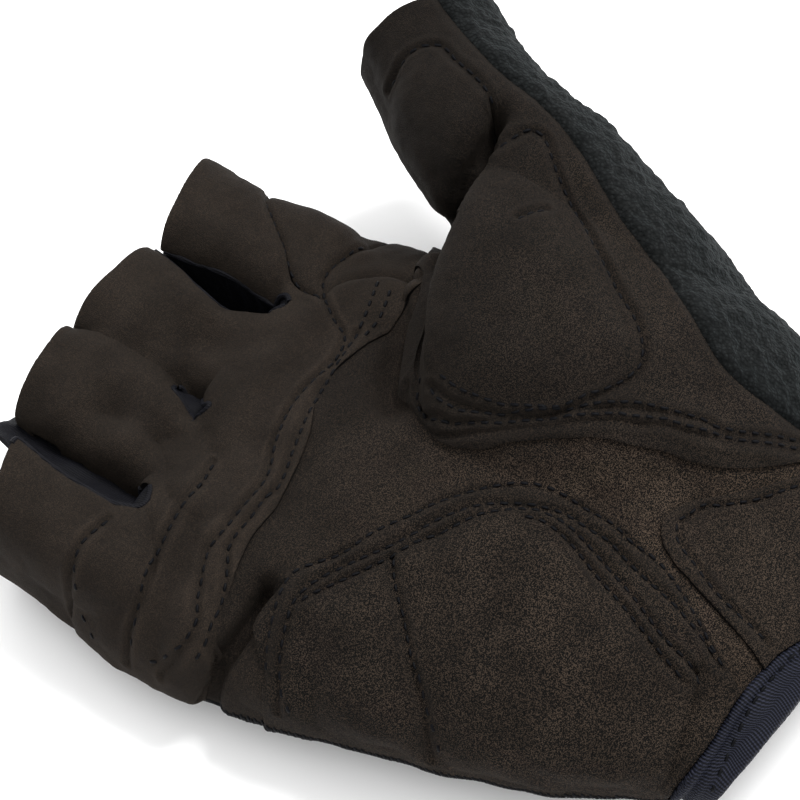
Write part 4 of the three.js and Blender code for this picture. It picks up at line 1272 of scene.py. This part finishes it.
def sew(line, pitch=2.3, length=1.75, thick=0.6, sink=0.4, lift=0.12):
    """A lock-stitch row along a line seen from above, laid on the cloth."""
    places, ways = evenly(line, pitch)
    for (x, y), way in zip(places, ways):
        p, up = on_skin((x, y, 120))
        if p is None:
            continue
        a, _ = on_skin((x + way[0] * 0.6, y + way[1] * 0.6, 120))
        b, _ = on_skin((x - way[0] * 0.6, y - way[1] * 0.6, 120))
        if a is None or b is None or abs(a[2] - b[2]) > 3:
            continue
        along = (a - b) / np.linalg.norm(a - b)
        up = up if up[2] > 0 else -up
        up = up - along * (up @ along)
        up /= np.linalg.norm(up)
        tilt = rng.normal(0, 0.05)
        along = along + np.cross(up, along) * tilt
        along /= np.linalg.norm(along)
        sewn.append(strand(p + up * (lift - 0.05), along, up, length * rng.uniform(0.92, 1.06), thick, sink))


def overlock(start, end, pitch, low, high):
    """Slanting threads wrapped over the outer side seam, from the little finger to the wrist."""
    for k, y in enumerate(np.arange(start, end, -pitch)):
        z = high + (0.35 if k % 2 else -0.35)
        a, up = on_skin((-90, y, z), (1, 0, 0))
        b, _ = on_skin((-90, y - 0.4, z - (high - low)), (1, 0, 0))
        if a is None or b is None or abs(a[0] - b[0]) > 3:
            continue
        up = up if up[0] < 0 else -up
        along = (a - b) / np.linalg.norm(a - b)
        up = up - along * (up @ along)
        up /= np.linalg.norm(up)
        sewn.append(strand((a + b) / 2 + up * 0.15, along, up, length=3.0, thick=0.62, sink=0.5))


for points in ROWS.values():
    sew(flowing(points))
# The tape's row runs where the palm shows it, without the ends at the sides.
sew(drawn(HEM_SEAM)[6:46] + [0, -TAPE_ROW])
overlock(20, -55, 0.62, SIDE_SEAM + 0.6, SIDE_SEAM + 2.2)
to_object("stitches", *gathered(sewn), "thread", "stretch", sharp=False)

# Studio.

floor_mesh = bpy.data.meshes.new("floor")
FLOOR_HALF = 6
floor_corners = [(x * FLOOR_HALF, y * FLOOR_HALF, 0) for x, y in ((-1, -1), (1, -1), (1, 1), (-1, 1))]
floor_mesh.from_pydata(floor_corners, [], [(0, 1, 2, 3)])
floor = bpy.data.objects.new("floor", floor_mesh)
bpy.context.scene.collection.objects.link(floor)
pale = Look("pale_floor")
floor_mesh.materials.append(pale.finish((0.92, 0.92, 0.92, 1), 0.9, None, Specular_IOR_Level=0.1))
floor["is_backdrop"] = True

# A white room, brighter towards one side of the ceiling.
world = bpy.data.worlds.new("studio")
bpy.context.scene.world = world
world.use_nodes = True
sky = world.node_tree
way = sky.nodes.new("ShaderNodeTexCoord")
lean = sky.nodes.new("ShaderNodeVectorMath")
lean.operation = "DOT_PRODUCT"
sky.links.new(way.outputs["Generated"], lean.inputs[0])
lean.inputs[1].default_value = (0.62, 0.12, 0.77)
level = sky.nodes.new("ShaderNodeMapRange")
sky.links.new(lean.outputs["Value"], level.inputs["Value"])
for key, value in (("From Min", -0.4), ("From Max", 1.0), ("To Min", 0.8), ("To Max", 1.9)):
    level.inputs[key].default_value = value
sky.nodes["Background"].inputs["Color"].default_value = (1, 1, 1, 1)
sky.links.new(level.outputs["Result"], sky.nodes["Background"].inputs["Strength"])


def soft_light(name, place, aim, size, power):
    data = bpy.data.lights.new(name, "AREA")
    data.shape = "DISK"
    data.size = size
    data.energy = power
    ob = bpy.data.objects.new(name, data)
    ob.location = place
    ob.rotation_mode = "QUATERNION"
    ob.rotation_quaternion = (Vector(aim) - Vector(place)).to_track_quat("-Z", "Y")
    bpy.context.scene.collection.objects.link(ob)


soft_light("key", place=(0.55, -0.15, 1.2), aim=(0, 0, 0.02), size=0.5, power=16)

camera = bpy.data.objects.new("camera", bpy.data.cameras.new("camera"))
bpy.context.scene.collection.objects.link(camera)
eye, aim = (Vector((place - CENTRE) / 1000) for place in (EYE, AIM))
camera.location = eye
camera.rotation_mode = "QUATERNION"
camera.rotation_quaternion = (aim - eye).to_track_quat("-Z", "Y")
camera.data.lens = LENS
camera.data.sensor_width = 36
camera.data.clip_start = 0.01
bpy.context.scene.camera = camera
bpy.context.scene.view_settings.view_transform = "Standard"

visual_box = [list(corner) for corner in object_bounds()]
